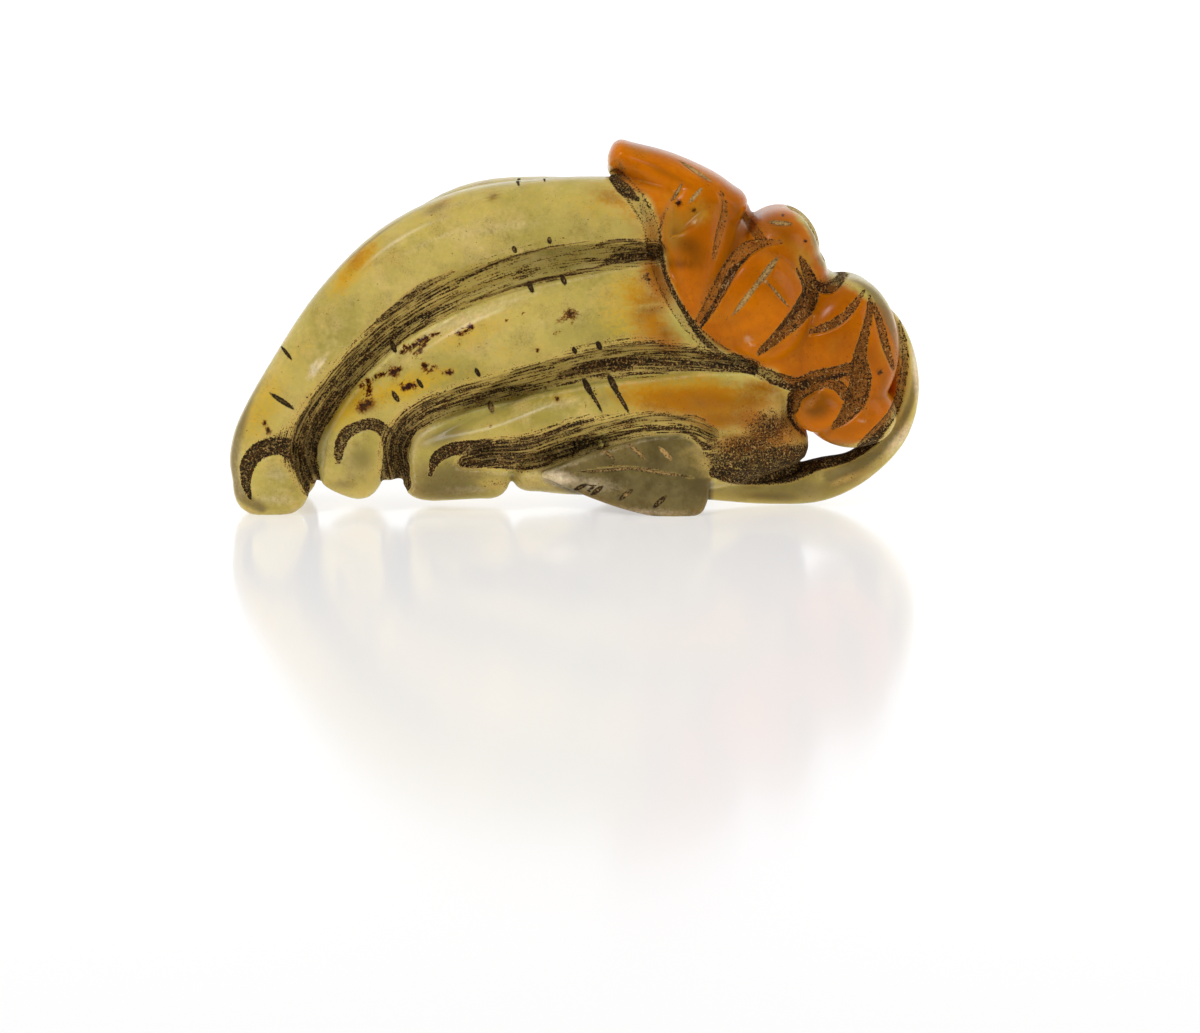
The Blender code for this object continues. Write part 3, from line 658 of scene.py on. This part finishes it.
class Flow:
    """A node's output. Signs between flows and numbers add the Math nodes that work them out."""

    def __init__(self, socket):
        self.socket = socket
        self.tree = socket.id_data

    def __add__(self, other):
        return maths("ADD", self, other)

    def __sub__(self, other):
        return maths("SUBTRACT", self, other)

    def __rsub__(self, other):
        return maths("SUBTRACT", other, self)

    def __mul__(self, other):
        return maths("MULTIPLY", self, other)

    def __truediv__(self, other):
        return maths("DIVIDE", self, other)


def feed(node, inputs):
    """Links flows to a node's inputs, and sets the others to values."""
    for name, value in inputs.items():
        if isinstance(value, Flow):
            value.tree.links.new(value.socket, node.inputs[name])
        else:
            node.inputs[name].default_value = value


def put(tree, kind, inputs=None, output=0, **settings):
    """Adds a node with its settings and inputs, and gives one of its outputs."""
    node = tree.nodes.new(kind)
    for name, value in settings.items():
        setattr(node, name, value)
    feed(node, inputs or {})
    return Flow(node.outputs[output])


def maths(operation, *values, clamp=False):
    """What a Math node makes of flows and numbers."""
    tree = next(value.tree for value in values if isinstance(value, Flow))
    return put(tree, "ShaderNodeMath", dict(enumerate(values)), operation=operation, use_clamp=clamp)


def vector_maths(operation, first, inputs, output=0):
    """What a Vector Math node makes of a vector and its other inputs."""
    return put(first.tree, "ShaderNodeVectorMath", {0: first} | inputs, output, operation=operation)


def split(vector):
    """A vector's X, Y and Z."""
    x = put(vector.tree, "ShaderNodeSeparateXYZ", {0: vector})
    return [Flow(part) for part in x.socket.node.outputs]


def join(x, y, z):
    """The vector of three parts, the first of them a flow."""
    return put(x.tree, "ShaderNodeCombineXYZ", {0: x, 1: y, 2: z})


def cutting_tree():
    """Geometry nodes that sink a skin along lines that are drawn on the picture plane."""
    tree = bpy.data.node_groups.new("cut_along_lines", "GeometryNodeTree")
    kinds = {"Geometry": "Geometry", "Lines": "Object", "Eye": "Vector", "Stone": "Material"}
    kinds |= dict.fromkeys(("Side", "Steepness", "Roundness", "Eye Distance", "Tilt"), "Float")
    for name, kind in kinds.items():
        tree.interface.new_socket(name=name, in_out="INPUT", socket_type=f"NodeSocket{kind}")
    tree.interface.new_socket(name="Geometry", in_out="OUTPUT", socket_type="NodeSocketGeometry")
    given = {socket.name: Flow(socket) for socket in tree.nodes.new("NodeGroupInput").outputs}
    # Where the eye sees each point, as metres on the picture plane. The back is seen in a mirror.
    x, y, z = split(put(tree, "GeometryNodeInputPosition"))
    seen = vector_maths("SUBTRACT", join(x, y * given["Side"] * -1, z), {1: given["Eye"]})
    turned = {"Vector": seen, "Angle": given["Tilt"]}
    x, ahead, z = split(put(tree, "ShaderNodeVectorRotate", turned, rotation_type="X_AXIS"))
    scale = given["Eye Distance"] / ahead
    picture = join(x * scale, 0, z * scale)
    # How near the closest cut is, as a share of its half width there.
    lines = put(tree, "GeometryNodeObjectInfo", {"Object": given["Lines"]}, "Geometry")
    probe = {0: lines, "Sample Position": picture}
    distance = put(tree, "GeometryNodeProximity", probe, "Distance", target_element="EDGES")
    closest = put(tree, "GeometryNodeSampleNearest", probe, "Index", domain="POINT")
    stored = {"Name": "half_width"}
    widths = put(tree, "GeometryNodeInputNamedAttribute", stored, "Attribute", data_type="FLOAT")
    sample = {"Geometry": lines, "Value": widths, "Index": closest}
    half_width = put(tree, "GeometryNodeSampleIndex", sample, "Value", data_type="FLOAT", domain="POINT")
    near = maths("MINIMUM", distance / half_width, 1)
    hollow = maths("POWER", maths("SUBTRACT", 1, near * near, clamp=True), given["Roundness"])
    # Skin that faces away from the eye isn't cut.
    normal = put(tree, "GeometryNodeInputNormal")
    facing = maths("MULTIPLY", split(normal)[1] * given["Side"], 2, clamp=True)
    sunk = half_width * given["Steepness"] * hollow * facing * -1
    offset = vector_maths("SCALE", normal, {"Scale": sunk})
    cut = put(tree, "GeometryNodeSetPosition", {"Geometry": given["Geometry"], "Offset": offset})
    real = put(tree, "GeometryNodeRealizeInstances", {0: cut})
    dressed = put(tree, "GeometryNodeSetMaterial", {"Geometry": real, "Material": given["Stone"]})
    feed(tree.nodes.new("NodeGroupOutput"), {0: dressed})
    return tree


def add_cuts(work, tree, guide, side, steepness, roundness, stone):
    """Gives the work one pass of the wheel along the guide's lines."""
    cuts = work.modifiers.new(guide.name, "NODES")
    cuts.node_group = tree
    values = {
        "Lines": guide,
        "Side": float(side),
        "Steepness": steepness,
        "Roundness": roundness,
        "Eye": tuple(EYE),
        "Eye Distance": EYE_DISTANCE,
        "Tilt": TILT,
        "Stone": stone,
    }
    for socket in tree.interface.items_tree:
        if socket.name in values:
            cuts[socket.identifier] = values[socket.name]


def vectors_of(mesh, kind):
    """The points' places (co) or normals (normal) as an array."""
    vectors = np.empty(len(mesh.vertices) * 3, np.float32)
    mesh.vertices.foreach_get(kind, vectors)
    return vectors.reshape(-1, 3).astype(float)


def evaluated(work):
    """The object's evaluated mesh as a plain mesh."""
    graph = bpy.context.evaluated_depsgraph_get()
    return bpy.data.meshes.new_from_object(work.evaluated_get(graph))


def settle(mesh):
    """Centres the stone over the origin, as the solid is, and flattens the feet on the ground."""
    places = vectors_of(mesh, "co")
    low, high = places.min(axis=0), places.max(axis=0)
    places -= [*((low + high) / 2)[:2], low[2] + FOOT_FLAT]
    places[:, 2] = np.maximum(places[:, 2], 0)
    mesh.vertices.foreach_set("co", places.astype(np.float32).ravel())
    mesh.update()


def add_smoothing(work, name, passes):
    """Rubs the work smooth, in so many passes."""
    rub = work.modifiers.new(name, "SMOOTH")
    rub.factor = 0.5
    rub.iterations = passes


def polished_stone():
    """The limbs and petals fused into one skin and smoothed, over the origin."""
    work = new_object("work", rough_stone())
    fuse = work.modifiers.new("fuse", "REMESH")
    fuse.mode = "VOXEL"
    fuse.voxel_size = VOXEL
    add_smoothing(work, "polish", POLISHING_PASSES)
    skin = evaluated(work)
    bpy.data.objects.remove(work)
    settle(skin)
    return skin


def carved_stone(stone):
    """The polished skin with every cut, as a plain mesh of at most the wanted triangles."""
    work = new_object("work", polished_stone())
    tree = cutting_tree()
    front_nicks = [spindle(nick) for nick in NICKS] + chatter_marks()
    back_nicks = [spindle(nick) for nick in BACK_NICKS]
    # Each pass of the wheel: name, cuts on the front, cuts on the back, steepness and roundness.
    passes = [
        ("hollows", HOLLOWS.values(), HOLLOWS.values(), 0.8, 2.0),
        ("floors", FLOORS.values(), FLOORS.values(), 0.45, 1.0),
        ("petal_cuts", PETAL_CUTS.values(), [PETAL_CUTS[name] for name in BACK_CUTS], 0.75, 1.0),
        ("tip_curls", TIP_CURLS.values(), TIP_CURLS.values(), 0.6, 1.0),
        ("veins", VEINS.values(), [], 0.7, 1.0),
        ("nicks", front_nicks, back_nicks, 0.8, 1.0),
    ]
    guides = []
    for name, front, back, steepness, roundness in passes:
        for side, word, cuts in ((-1, "front", front), (1, "back", back)):
            if cuts:
                guide = line_object(f"{word}_{name}", [picture_line(cut) for cut in cuts])
                add_cuts(work, tree, guide, side, steepness, roundness, stone)
                guides.append(guide)
    add_smoothing(work, "rub", RUBBING_PASSES)
    work.data = evaluated(work)
    work.modifiers.clear()
    for guide in guides:
        bpy.data.objects.remove(guide)
    facets = work.modifiers.new("facets", "DECIMATE")
    facets.ratio = TRIANGLES / (2 * len(work.data.polygons))
    made = evaluated(work)
    bpy.data.objects.remove(work)
    settle(made)
    return made


def seen_pixels(places):
    """Where the eye sees each point, in the photograph's pixels. The back is seen in a mirror."""
    turned = np.column_stack([places[:, 0], -np.abs(places[:, 1]), places[:, 2]]) - np.array(EYE)
    ahead = turned[:, 1] * math.cos(TILT) - turned[:, 2] * math.sin(TILT)
    above = turned[:, 1] * math.sin(TILT) + turned[:, 2] * math.cos(TILT)
    scale = EYE_DISTANCE / PIXEL / ahead
    return np.column_stack([PHOTO_WIDTH / 2 + turned[:, 0] * scale, PHOTO_HEIGHT / 2 - above * scale])


def facing_eye(mesh, places):
    """How far each point's skin faces the eye, from -1 to 1. The back is seen in a mirror."""
    mirror = np.where(places[:, 1] > 0, -1, 1)[:, None] * (0, 1, 0) + (1, 0, 1)
    way = np.array(EYE) - places * mirror
    return (vectors_of(mesh, "normal") * mirror * way).sum(axis=1) / np.linalg.norm(way, axis=1)


def near_line(seen, line):
    """Each point's distance to the line, way along it, side of it, and the line's values nearest it."""
    distance = np.full(len(seen), np.inf)
    along = np.zeros(len(seen))
    side = np.ones(len(seen))
    values = np.zeros((len(seen), line.shape[1] - 2))
    passed = 0
    for start, end in zip(line, line[1:]):
        step = end[:2] - start[:2]
        length = math.hypot(*step)
        if length == 0:
            continue
        from_start = seen - start[:2]
        share = np.clip(from_start @ step / length**2, 0, 1)
        gap = from_start - share[:, None] * step
        new = np.hypot(gap[:, 0], gap[:, 1])
        closer = new < distance
        distance[closer] = new[closer]
        along[closer] = passed + share[closer] * length
        side[closer] = np.where(step[0] * gap[closer, 1] - step[1] * gap[closer, 0] < 0, -1, 1)
        values[closer] = start[2:] + share[closer, None] * (end[2:] - start[2:])
        passed += length
    return distance, along, side, values


def beside(seen, stations):
    """The points beside a line: which they are, how many half widths away, and the line's values."""
    line = smooth_run(stations, STEPS_PER_MARK)
    low = line[:, :2].min(axis=0) - LINE_REACH
    high = line[:, :2].max(axis=0) + LINE_REACH
    here = np.flatnonzero(((seen > low) & (seen < high)).all(axis=1))
    distance, _, _, values = near_line(seen[here], line)
    return here, distance / np.maximum(values[:, 0], LEAST_HALF_WIDTH), values


def depth_inside(seen, outline):
    """How deep inside an outline each point lies, in pixels, and below nought outside it."""
    ring = np.array(outline + outline[:1], float)
    distance = near_line(seen, ring)[0]
    inside = np.zeros(len(seen), bool)
    for (x1, y1), (x2, y2) in zip(ring, ring[1:]):
        crosses = (seen[:, 1] < y1) != (seen[:, 1] < y2)
        if y1 != y2:
            inside ^= crosses & (seen[:, 0] < x1 + (x2 - x1) * (seen[:, 1] - y1) / (y2 - y1))
    return np.where(inside, distance, -distance)


def cloudiness(seen, clouds):
    """The strongest cloud at each point: full in its middle and faded at its edge."""
    strongest = np.zeros(len(seen))
    for x, y, long, wide, turn, strength in clouds:
        angle = math.radians(turn)
        gap = seen - (x, y)
        u = (gap[:, 0] * math.cos(angle) + gap[:, 1] * math.sin(angle)) / long
        v = (gap[:, 1] * math.cos(angle) - gap[:, 0] * math.sin(angle)) / wide
        strongest = np.maximum(strongest, strength * np.exp(-CLOUD_FALL * (u**2 + v**2)))
    return strongest


def soil_in_hollows(seen):
    """Soil in the wide hollows, the painted highlight on their lower crest, and each point's place in
    their streaks.
    """
    soil = np.zeros(len(seen))
    crest_highlight = np.zeros(len(seen))
    streak = np.zeros((len(seen), 3))
    nearest = np.full(len(seen), np.inf)
    for band in HOLLOWS.values():
        distance, along, side, values = near_line(seen, smooth_run(band, STEPS_PER_MARK))
        across = side * distance / values[:, 0]
        full = values[:, 1]
        lower = (across - CRISP_EDGE) * CRISP_SLOPE
        upper = full - np.maximum(across - DUSTY_EDGE, 0) * DUSTY_SLOPE
        soil = np.maximum(soil, np.minimum(np.minimum(lower, upper), full))
        # The pale crest is a painted highlight along the hollow's lower edge.
        crest_highlight = np.maximum(crest_highlight, 1 - np.abs(across - CREST_HIGHLIGHT_PLACE) / CREST_HIGHLIGHT_WIDTH)
        closer = np.abs(across) < nearest
        nearest[closer] = np.abs(across[closer])
        in_millimetres = np.column_stack([along, side * distance]) * PIXEL * 1000
        streak[closer, :2] = in_millimetres[closer]
    streak[:, 2] = np.clip(STREAK_END - nearest, 0, 1)
    return soil, np.clip(crest_highlight, 0, 1), streak


def soil_in_furrows(seen):
    """Soil in the narrow cuts and along the dark lines, and how near each cut's edge a point lies."""
    soil = np.zeros(len(seen))
    edge = np.zeros(len(seen))
    for name, cut in (TIP_CURLS | PETAL_CUTS | VEINS).items():
        here, away, _ = beside(seen, cut)
        filled = np.clip((FURROW_EDGE - away) * FURROW_SLOPE, 0, CUT_SOIL.get(name, USUAL_SOIL))
        soil[here] = np.maximum(soil[here], filled)
        dark = np.clip(1 - np.abs(away - DARK_EDGE) * FURROW_SLOPE, 0, 1)
        edge[here] = np.maximum(edge[here], dark)
    for marks in SOIL_LINES.values():
        here, away, values = beside(seen, marks)
        soil[here] = np.maximum(soil[here], values[:, 1] * np.clip(SOIL_LINE_EDGE - away, 0, 1))
    return soil, edge


def grey_rims_and_edge_shade(seen):
    """Where the thin grey rims and their painted edge shade lie, and how strong they are."""
    rims = np.zeros(len(seen))
    for rim in GREY_RIMS_AND_EDGE_SHADE.values():
        here, away, _ = beside(seen, rim)
        rims[here] = np.maximum(rims[here], np.clip(RIM_EDGE - away, 0, RIM_STRENGTH))
    return rims


def mark_places(seen, marks):
    """Each point's place along and across its nearest mark, the mark's tone, and how far away it is."""
    best = np.full(len(seen), FAR_OFF)
    places = np.full((len(seen), 3), FAR_OFF)
    for x1, y1, x2, y2, half, tone in marks:
        step = np.array([x2 - x1, y2 - y1]) / 2
        long = math.hypot(*step)
        gap = seen - ((x1 + x2) / 2, (y1 + y2) / 2)
        u = gap @ step / long**2
        v = (gap[:, 0] * step[1] - gap[:, 1] * step[0]) / long / half
        far = np.hypot(u, v)
        closer = far < best
        best[closer] = far[closer]
        places[closer] = np.column_stack([u, v, np.full(len(seen), tone)])[closer]
    return places, best


def paint(mesh):
    """Gives each point its share of the stone's layers, clouds and soil, painted shade and highlights
    among them, as attributes.
    """
    places = vectors_of(mesh, "co")
    seen = seen_pixels(places)
    soil, crest_highlight, streak = soil_in_hollows(seen)
    furrow_soil, edge = soil_in_furrows(seen)
    nick, nick_distance = mark_places(seen, NICKS)
    specks = [(x - radius, y, x + radius, y, radius, 0) for x, y, radius in SPECKS]
    speck, speck_distance = mark_places(seen, specks)
    # Clouds are drawn as the eye sees them, so they fade where the skin turns away from it.
    facing = np.clip((facing_eye(mesh, places) - FADE_END) / FADE_WIDTH, 0, 1)
    values = {name: cloudiness(seen, clouds) * facing for name, clouds in CLOUDS.items()}
    # The grey rims, with their painted edge shade, join the grey clouds.
    values["grey_and_shade"] = np.maximum(values["grey_and_shade"], grey_rims_and_edge_shade(seen) * np.maximum(facing, RIM_FADE))
    values |= {
        # Soil, with painted shade under the stem from one smear.
        "soil": np.maximum(np.maximum(soil, furrow_soil), cloudiness(seen, SMEARS_AND_SHADE)),
        "edge": edge,
        "crest_highlight": crest_highlight,
        "orange": depth_inside(seen, ORANGE_LAYER),
        "leaf": depth_inside(seen, LEAF_OUTLINE),
        "nick_distance": nick_distance,
        "speck_distance": speck_distance,
    }
    for name, value in values.items():
        layer = mesh.attributes.new(name, "FLOAT", "POINT")
        layer.data.foreach_set("value", value.astype(np.float32))
    for name, value in (("streak", streak), ("nick", nick), ("speck", speck)):
        layer = mesh.attributes.new(name, "FLOAT_VECTOR", "POINT")
        layer.data.foreach_set("vector", value.astype(np.float32).ravel())


def colour(red, green, blue):
    """A colour given as it looks on a screen, from 0 to 255, as linear light."""
    parts = [c / 255 for c in (red, green, blue)]
    return (*[c / 12.92 if c <= 0.04045 else ((c + 0.055) / 1.055) ** 2.4 for c in parts], 1)


STONE_COLOURS = {
    "olive": colour(172, 158, 80),
    "yellow_green": colour(203, 184, 102),
    "straw": colour(210, 188, 118),
    "yellow": colour(208, 170, 46),
    "amber": colour(186, 124, 10),
    "orange": colour(206, 119, 3),
    "deep_orange": colour(172, 95, 2),
    "honey": colour(178, 128, 34),
    "grey_green": colour(120, 104, 64),
    "leaf_green": colour(98, 86, 48),
    "pale_leaf": colour(126, 111, 68),
    "brown_and_shade": colour(108, 64, 12),
    "milk_and_highlight": colour(238, 220, 186),
    "dark_red": colour(50, 18, 6),
    "rust": colour(128, 76, 16),
    "pale_soil": colour(196, 158, 96),
    "nick_rim": colour(44, 32, 18),
    # Washes of soil on the green and on the orange stone.
    "thin_on_green": colour(204, 174, 94),
    "thick_on_green": colour(108, 82, 44),
    "thin_on_orange": colour(172, 108, 38),
    "thick_on_orange": colour(104, 64, 28),
}
GRAIN_COLOURS = [(0.45, colour(18, 12, 7)), (0.54, colour(46, 32, 17)), (0.63, colour(104, 76, 40))]
# Noise: size of its features in metres, detail and roughness. The threads' vector is stretched first.
NOISES = {
    "drift": (0.009, 3, 0.5),
    "cloud": (0.0032, 4, 0.6),
    "layer_edge": (0.0025, 3, 0.6),
    "patch": (0.0022, 3, 0.6),
    "coarse": (0.0007, 3, 0.6),
    "grain": (0.0004, 4, 0.7),
    "ragged": (0.00024, 3, 0.6),
    "dots": (0.00024, 1, 0.5),
    "crumbs": (0.00019, 2, 0.6),
    "dust": (0.00017, 2, 0.6),
    "fine": (0.00015, 2, 0.6),
    "threads": (1, 3, 0.6),
}
# The wheel's streaks in the hollows: how close the threads lie along and across, and how strong.
THREADS = [((0.45, 6.5, 0), 3.2), ((0.12, 1.6, 0), 2.2)]


def noise(vector, name):
    """One of the stone's noises."""
    size, detail, roughness = NOISES[name]
    inputs = {"Vector": vector, "Scale": 1 / size, "Detail": detail, "Roughness": roughness}
    return put(vector.tree, "ShaderNodeTexNoise", inputs)


def attribute(tree, name, output="Fac"):
    """What was painted on the mesh under this name."""
    return put(tree, "ShaderNodeAttribute", output=output, attribute_name=name)


def ramp(value, low, high):
    """Nought below low and one above high, with a soft step between."""
    inputs = {"Value": value, "From Min": low, "From Max": high}
    return put(value.tree, "ShaderNodeMapRange", inputs, interpolation_type="SMOOTHSTEP")


def drawn_out(value, low, high):
    """Nought to one, drawn out to low to high."""
    return put(value.tree, "ShaderNodeMapRange", {"Value": value, "To Min": low, "To Max": high})


def swing(value, gain):
    """A noise value as a swing about nought."""
    return (value - 0.5) * gain


def blend(share, first, second):
    """A mix of two colours, each of them a flow, a colour or the name of one of the stone's."""
    first, second = (STONE_COLOURS[c] if isinstance(c, str) else c for c in (first, second))
    return put(share.tree, "ShaderNodeMix", {0: share, 6: first, 7: second}, 2, data_type="RGBA")


def colour_ramp(value, stops):
    """A colour for each value, from stops of a place and a colour."""
    made = put(value.tree, "ShaderNodeValToRGB", {0: value})
    elements = made.socket.node.color_ramp.elements
    for _ in stops[2:]:
        elements.new(0.5)
    for element, (place, shade) in zip(elements, stops):
        element.position = place
        element.color = shade
    return made


def mark_distance(tree, name):
    """How far the nearest mark lies, in shares of its size, and its tone."""
    x, y, tone = split(attribute(tree, name, "Vector"))
    far = vector_maths("LENGTH", join(x, y, 0), {}, "Value")
    # Halfway between two marks the place swings round, and the plain distance keeps that gap clear.
    return maths("MAXIMUM", far, attribute(tree, f"{name}_distance") - SWING_ROOM), tone


def clear_stone(tree, place, orange):
    """The colour of the bare stone: green, with an orange layer, clouds and specks; some clouds paint
    shade and highlights.
    """
    drift = noise(place, "drift")
    cloud = noise(place, "cloud")
    grain = noise(place, "grain")
    base = blend(ramp(drift, 0.36, 0.60), "olive", "yellow_green")
    base = blend(ramp(cloud, 0.45, 0.75), base, "straw")
    for name in ("yellow", "amber"):
        painted = attribute(tree, name)
        share = painted + swing(cloud, 0.9) + swing(grain, 0.9)
        base = blend(ramp(share, 0.05, 1.0) * ramp(painted, 0, 0.35), base, name)
    petal = blend(ramp(drift, 0.34, 0.62), "deep_orange", "orange")
    honey = attribute(tree, "honey") + swing(cloud, 1.4)
    petal = blend(ramp(honey, 0.05, 0.9) * 0.9, petal, "honey")
    base = blend(orange, base, petal)
    # Brown stone, and painted shade under the stem and in the crevices.
    brown_and_shade = attribute(tree, "brown_and_shade") + swing(grain, 0.3)
    base = blend(ramp(brown_and_shade, 0.05, 1.0) * 0.85, base, "brown_and_shade")
    # The leaf, with a pale rim just inside its outline.
    leaf = attribute(tree, "leaf")
    green = blend(ramp(cloud, 0.36, 0.62), "leaf_green", "pale_leaf")
    base = blend(ramp(leaf, -1.5, 1.5), base, green)
    rim = ramp(leaf, -1.0, 0.5) * (1 - ramp(leaf, 1.0, 4.0))
    base = blend(rim * 0.45, base, "straw")
    # Grey stone and the rims, and painted shade on the lower parts and along the outlines.
    grey_and_shade = attribute(tree, "grey_and_shade") + swing(cloud, 0.5)
    base = blend(ramp(grey_and_shade, 0.1, 1.0) * 0.85, base, "grey_green")
    # Painted highlights and sheen with some milky stone, and a painted highlight along each hollow's lower
    # crest.
    milk_and_highlight = maths("MAXIMUM", attribute(tree, "milk_and_highlight"), attribute(tree, "crest_highlight") * 0.3)
    base = blend(ramp(milk_and_highlight + swing(grain, 0.5), 0.05, 0.9), base, "milk_and_highlight")
    # Specks with ragged rims, each dark red in the middle and rusty outside.
    far = mark_distance(tree, "speck")[0] + swing(noise(place, "ragged"), 2.2)
    base = blend(1 - ramp(far, 0.5, 1.15), base, "rust")
    base = blend(1 - ramp(far, 0.35, 0.65), base, "dark_red")
    # Soft stains, fine brown dust that gathers in them, and a tiny dark dot here and there.
    patch = noise(place, "patch")
    stain = blend(orange, "grey_green", "deep_orange")
    base = blend(ramp(patch, 0.45, 0.70) * (orange * 0.2 + 0.18), base, stain)
    dust = patch * 0.7 + noise(place, "dust")
    base = blend(ramp(dust, 0.90, 1.20) * 0.3, base, "brown_and_shade")
    dots = cloud * 0.35 + noise(place, "dots")
    base = blend(ramp(dots, 0.92, 0.98) * 0.6, base, "nick_rim")
    # A faint grain all over.
    return vector_maths("SCALE", base, {"Scale": drawn_out(grain, 0.84, 1.16)})


def chalcedony():
    """Translucent yellow-green stone with an orange layer, and soil in its cuts."""
    material = bpy.data.materials.new("chalcedony")
    material.use_nodes = True
    tree = material.node_tree
    place = put(tree, "ShaderNodeTexCoord", output="Object")
    layer_edge = swing(noise(place, "layer_edge"), 14)
    orange = ramp(attribute(tree, "orange") + layer_edge, -3.0, 5.0)
    # Soil: a brown wash, with dark grains over it that the wheel's streaks line up.
    soil = attribute(tree, "soil")
    fine = noise(place, "fine")
    coarse = noise(place, "coarse")
    crumbs = noise(place, "crumbs")
    streak = attribute(tree, "streak", "Vector")
    strength = split(streak)[2]
    threads = []
    for scale, gain in THREADS:
        stretched = put(tree, "ShaderNodeMapping", {"Vector": streak, "Scale": scale})
        threads.append(swing(noise(stretched, "threads"), gain) * strength)
    drag = threads[0] + threads[1]
    uneven = drag * 0.4 + (soil + swing(coarse, 0.6))
    washed = ramp(uneven, 0.15, 0.95)
    thick = ramp(uneven, 0.6, 1.3)
    warm = maths("MAXIMUM", orange, ramp(attribute(tree, "amber"), 0.2, 0.9))
    green_wash = blend(thick, "thin_on_green", "thick_on_green")
    orange_wash = blend(thick, "thin_on_orange", "thick_on_orange")
    wash = blend(warm, green_wash, orange_wash)
    stained = blend(washed * 0.85, clear_stone(tree, place, orange), wash)
    amount = maths("MINIMUM", soil, 1.25) * 0.60 + swing(fine, 1.8) + swing(coarse, 0.5)
    amount = amount + drag * 0.8 + attribute(tree, "edge") * 0.35
    grains = ramp(amount, 0.54, 0.70)
    golden = ramp(coarse, 0.48, 0.66) * (warm * 0.5 + 0.15)
    dark = blend(golden, colour_ramp(crumbs, GRAIN_COLOURS), "rust")
    soiled = blend(grains * 0.95, stained, dark)
    flecks = ramp(crumbs, 0.60, 0.67) * ramp(uneven, 0.4, 1.0)
    soiled = blend(flecks * 0.75, soiled, "pale_soil")
    # Nicks: dark soil, or pale soil with a thin dark rim.
    far, tone = mark_distance(tree, "nick")
    far = far + swing(fine, 0.7)
    pale = far * -0.4 + (tone + swing(crumbs, 1.8))
    filling = blend(ramp(pale, -0.1, 1.0), "nick_rim", "pale_soil")
    in_nick = 1 - ramp(far, 0.85, 1.15)
    # Soil is rough and opaque, and the bare stone glossy with a glow under its skin.
    cover = maths("MAXIMUM", washed * 0.5 + grains, in_nick, clamp=True)
    grit = {"Height": crumbs * cover, "Strength": 0.6, "Distance": 0.00012}
    feed(tree.nodes["Principled BSDF"], {
        "Base Color": blend(in_nick, soiled, filling),
        "Roughness": drawn_out(cover, 0.20, 0.85),
        "Subsurface Weight": drawn_out(cover, 0.95, 0.15),
        "Subsurface Radius": (1, 0.6, 0.2),
        "Subsurface Scale": 0.003,
        "Specular IOR Level": 0.10,
        "Normal": put(tree, "ShaderNodeBump", grit),
    })
    return material


def make_camera():
    """The camera that took the photograph, looking down by the tilt."""
    data = bpy.data.cameras.new("camera")
    data.lens = LENS
    data.sensor_width = SENSOR
    data.clip_start = 0.01
    camera = new_object("camera", data)
    camera.location = EYE
    camera.rotation_euler = (math.pi / 2 - TILT, 0, 0)
    bpy.context.scene.camera = camera


def white_tent():
    """A white tent, dimmer overhead, with a dark opening where the camera stands."""
    world = bpy.data.worlds.new("white_tent")
    world.use_nodes = True
    tree = world.node_tree
    way = put(tree, "ShaderNodeTexCoord", output="Generated")
    light = blend(ramp(split(way)[2], 0.15, 1.0), (1, 1, 1, 1), (0.5, 0.5, 0.5, 1))
    to_camera = (EYE - EYE_TARGET).normalized()
    towards = vector_maths("DOT_PRODUCT", way, {1: to_camera}, "Value")
    light = blend(ramp(towards, 0.2, 0.9), light, (0.05, 0.05, 0.05, 1))
    feed(tree.nodes["Background"], {"Color": light})
    return world


def add_sun(name, way, spread, strength):
    """Soft even light that falls along a direction."""
    lamp = bpy.data.lights.new(name, "SUN")
    lamp.angle = math.radians(spread)
    lamp.energy = strength
    new_object(name, lamp).rotation_euler = Vector(way).to_track_quat("-Z", "Y").to_euler()


def make_studio():
    """A glossy white table in a white tent, with a small sun for the highlights and a soft one to fill."""
    scene = bpy.context.scene
    scene.world = white_tent()
    scene.view_settings.view_transform = "Standard"
    table = bpy.data.meshes.new("table")
    corners = [(x * TABLE_HALF, y * TABLE_HALF, 0) for x, y in ((-1, -1), (1, -1), (1, 1), (-1, 1))]
    table.from_pydata(corners, [], [(0, 1, 2, 3)])
    gloss = bpy.data.materials.new("white_gloss")
    gloss.use_nodes = True
    feed(gloss.node_tree.nodes["Principled BSDF"], {
        "Base Color": (0.48, 0.48, 0.48, 1),
        "Emission Color": (1.0, 0.99, 0.99, 1),
        "Emission Strength": 0.50,
        "Roughness": 0.14,
        "Specular IOR Level": 0.3,
    })
    table.materials.append(gloss)
    floor = new_object("table", table)
    add_sun("key_light", (0.50, 0.64, -0.58), 14, 1.2)
    add_sun("fill_light", (-0.66, 0.66, -0.36), 40, 0.9)


make_camera()
make_studio()
mesh = carved_stone(chalcedony())
paint(mesh)
mesh.shade_smooth()
pendant = new_object("carved_citron", mesh)
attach(pendant, "root")
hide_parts("citron_pendant")
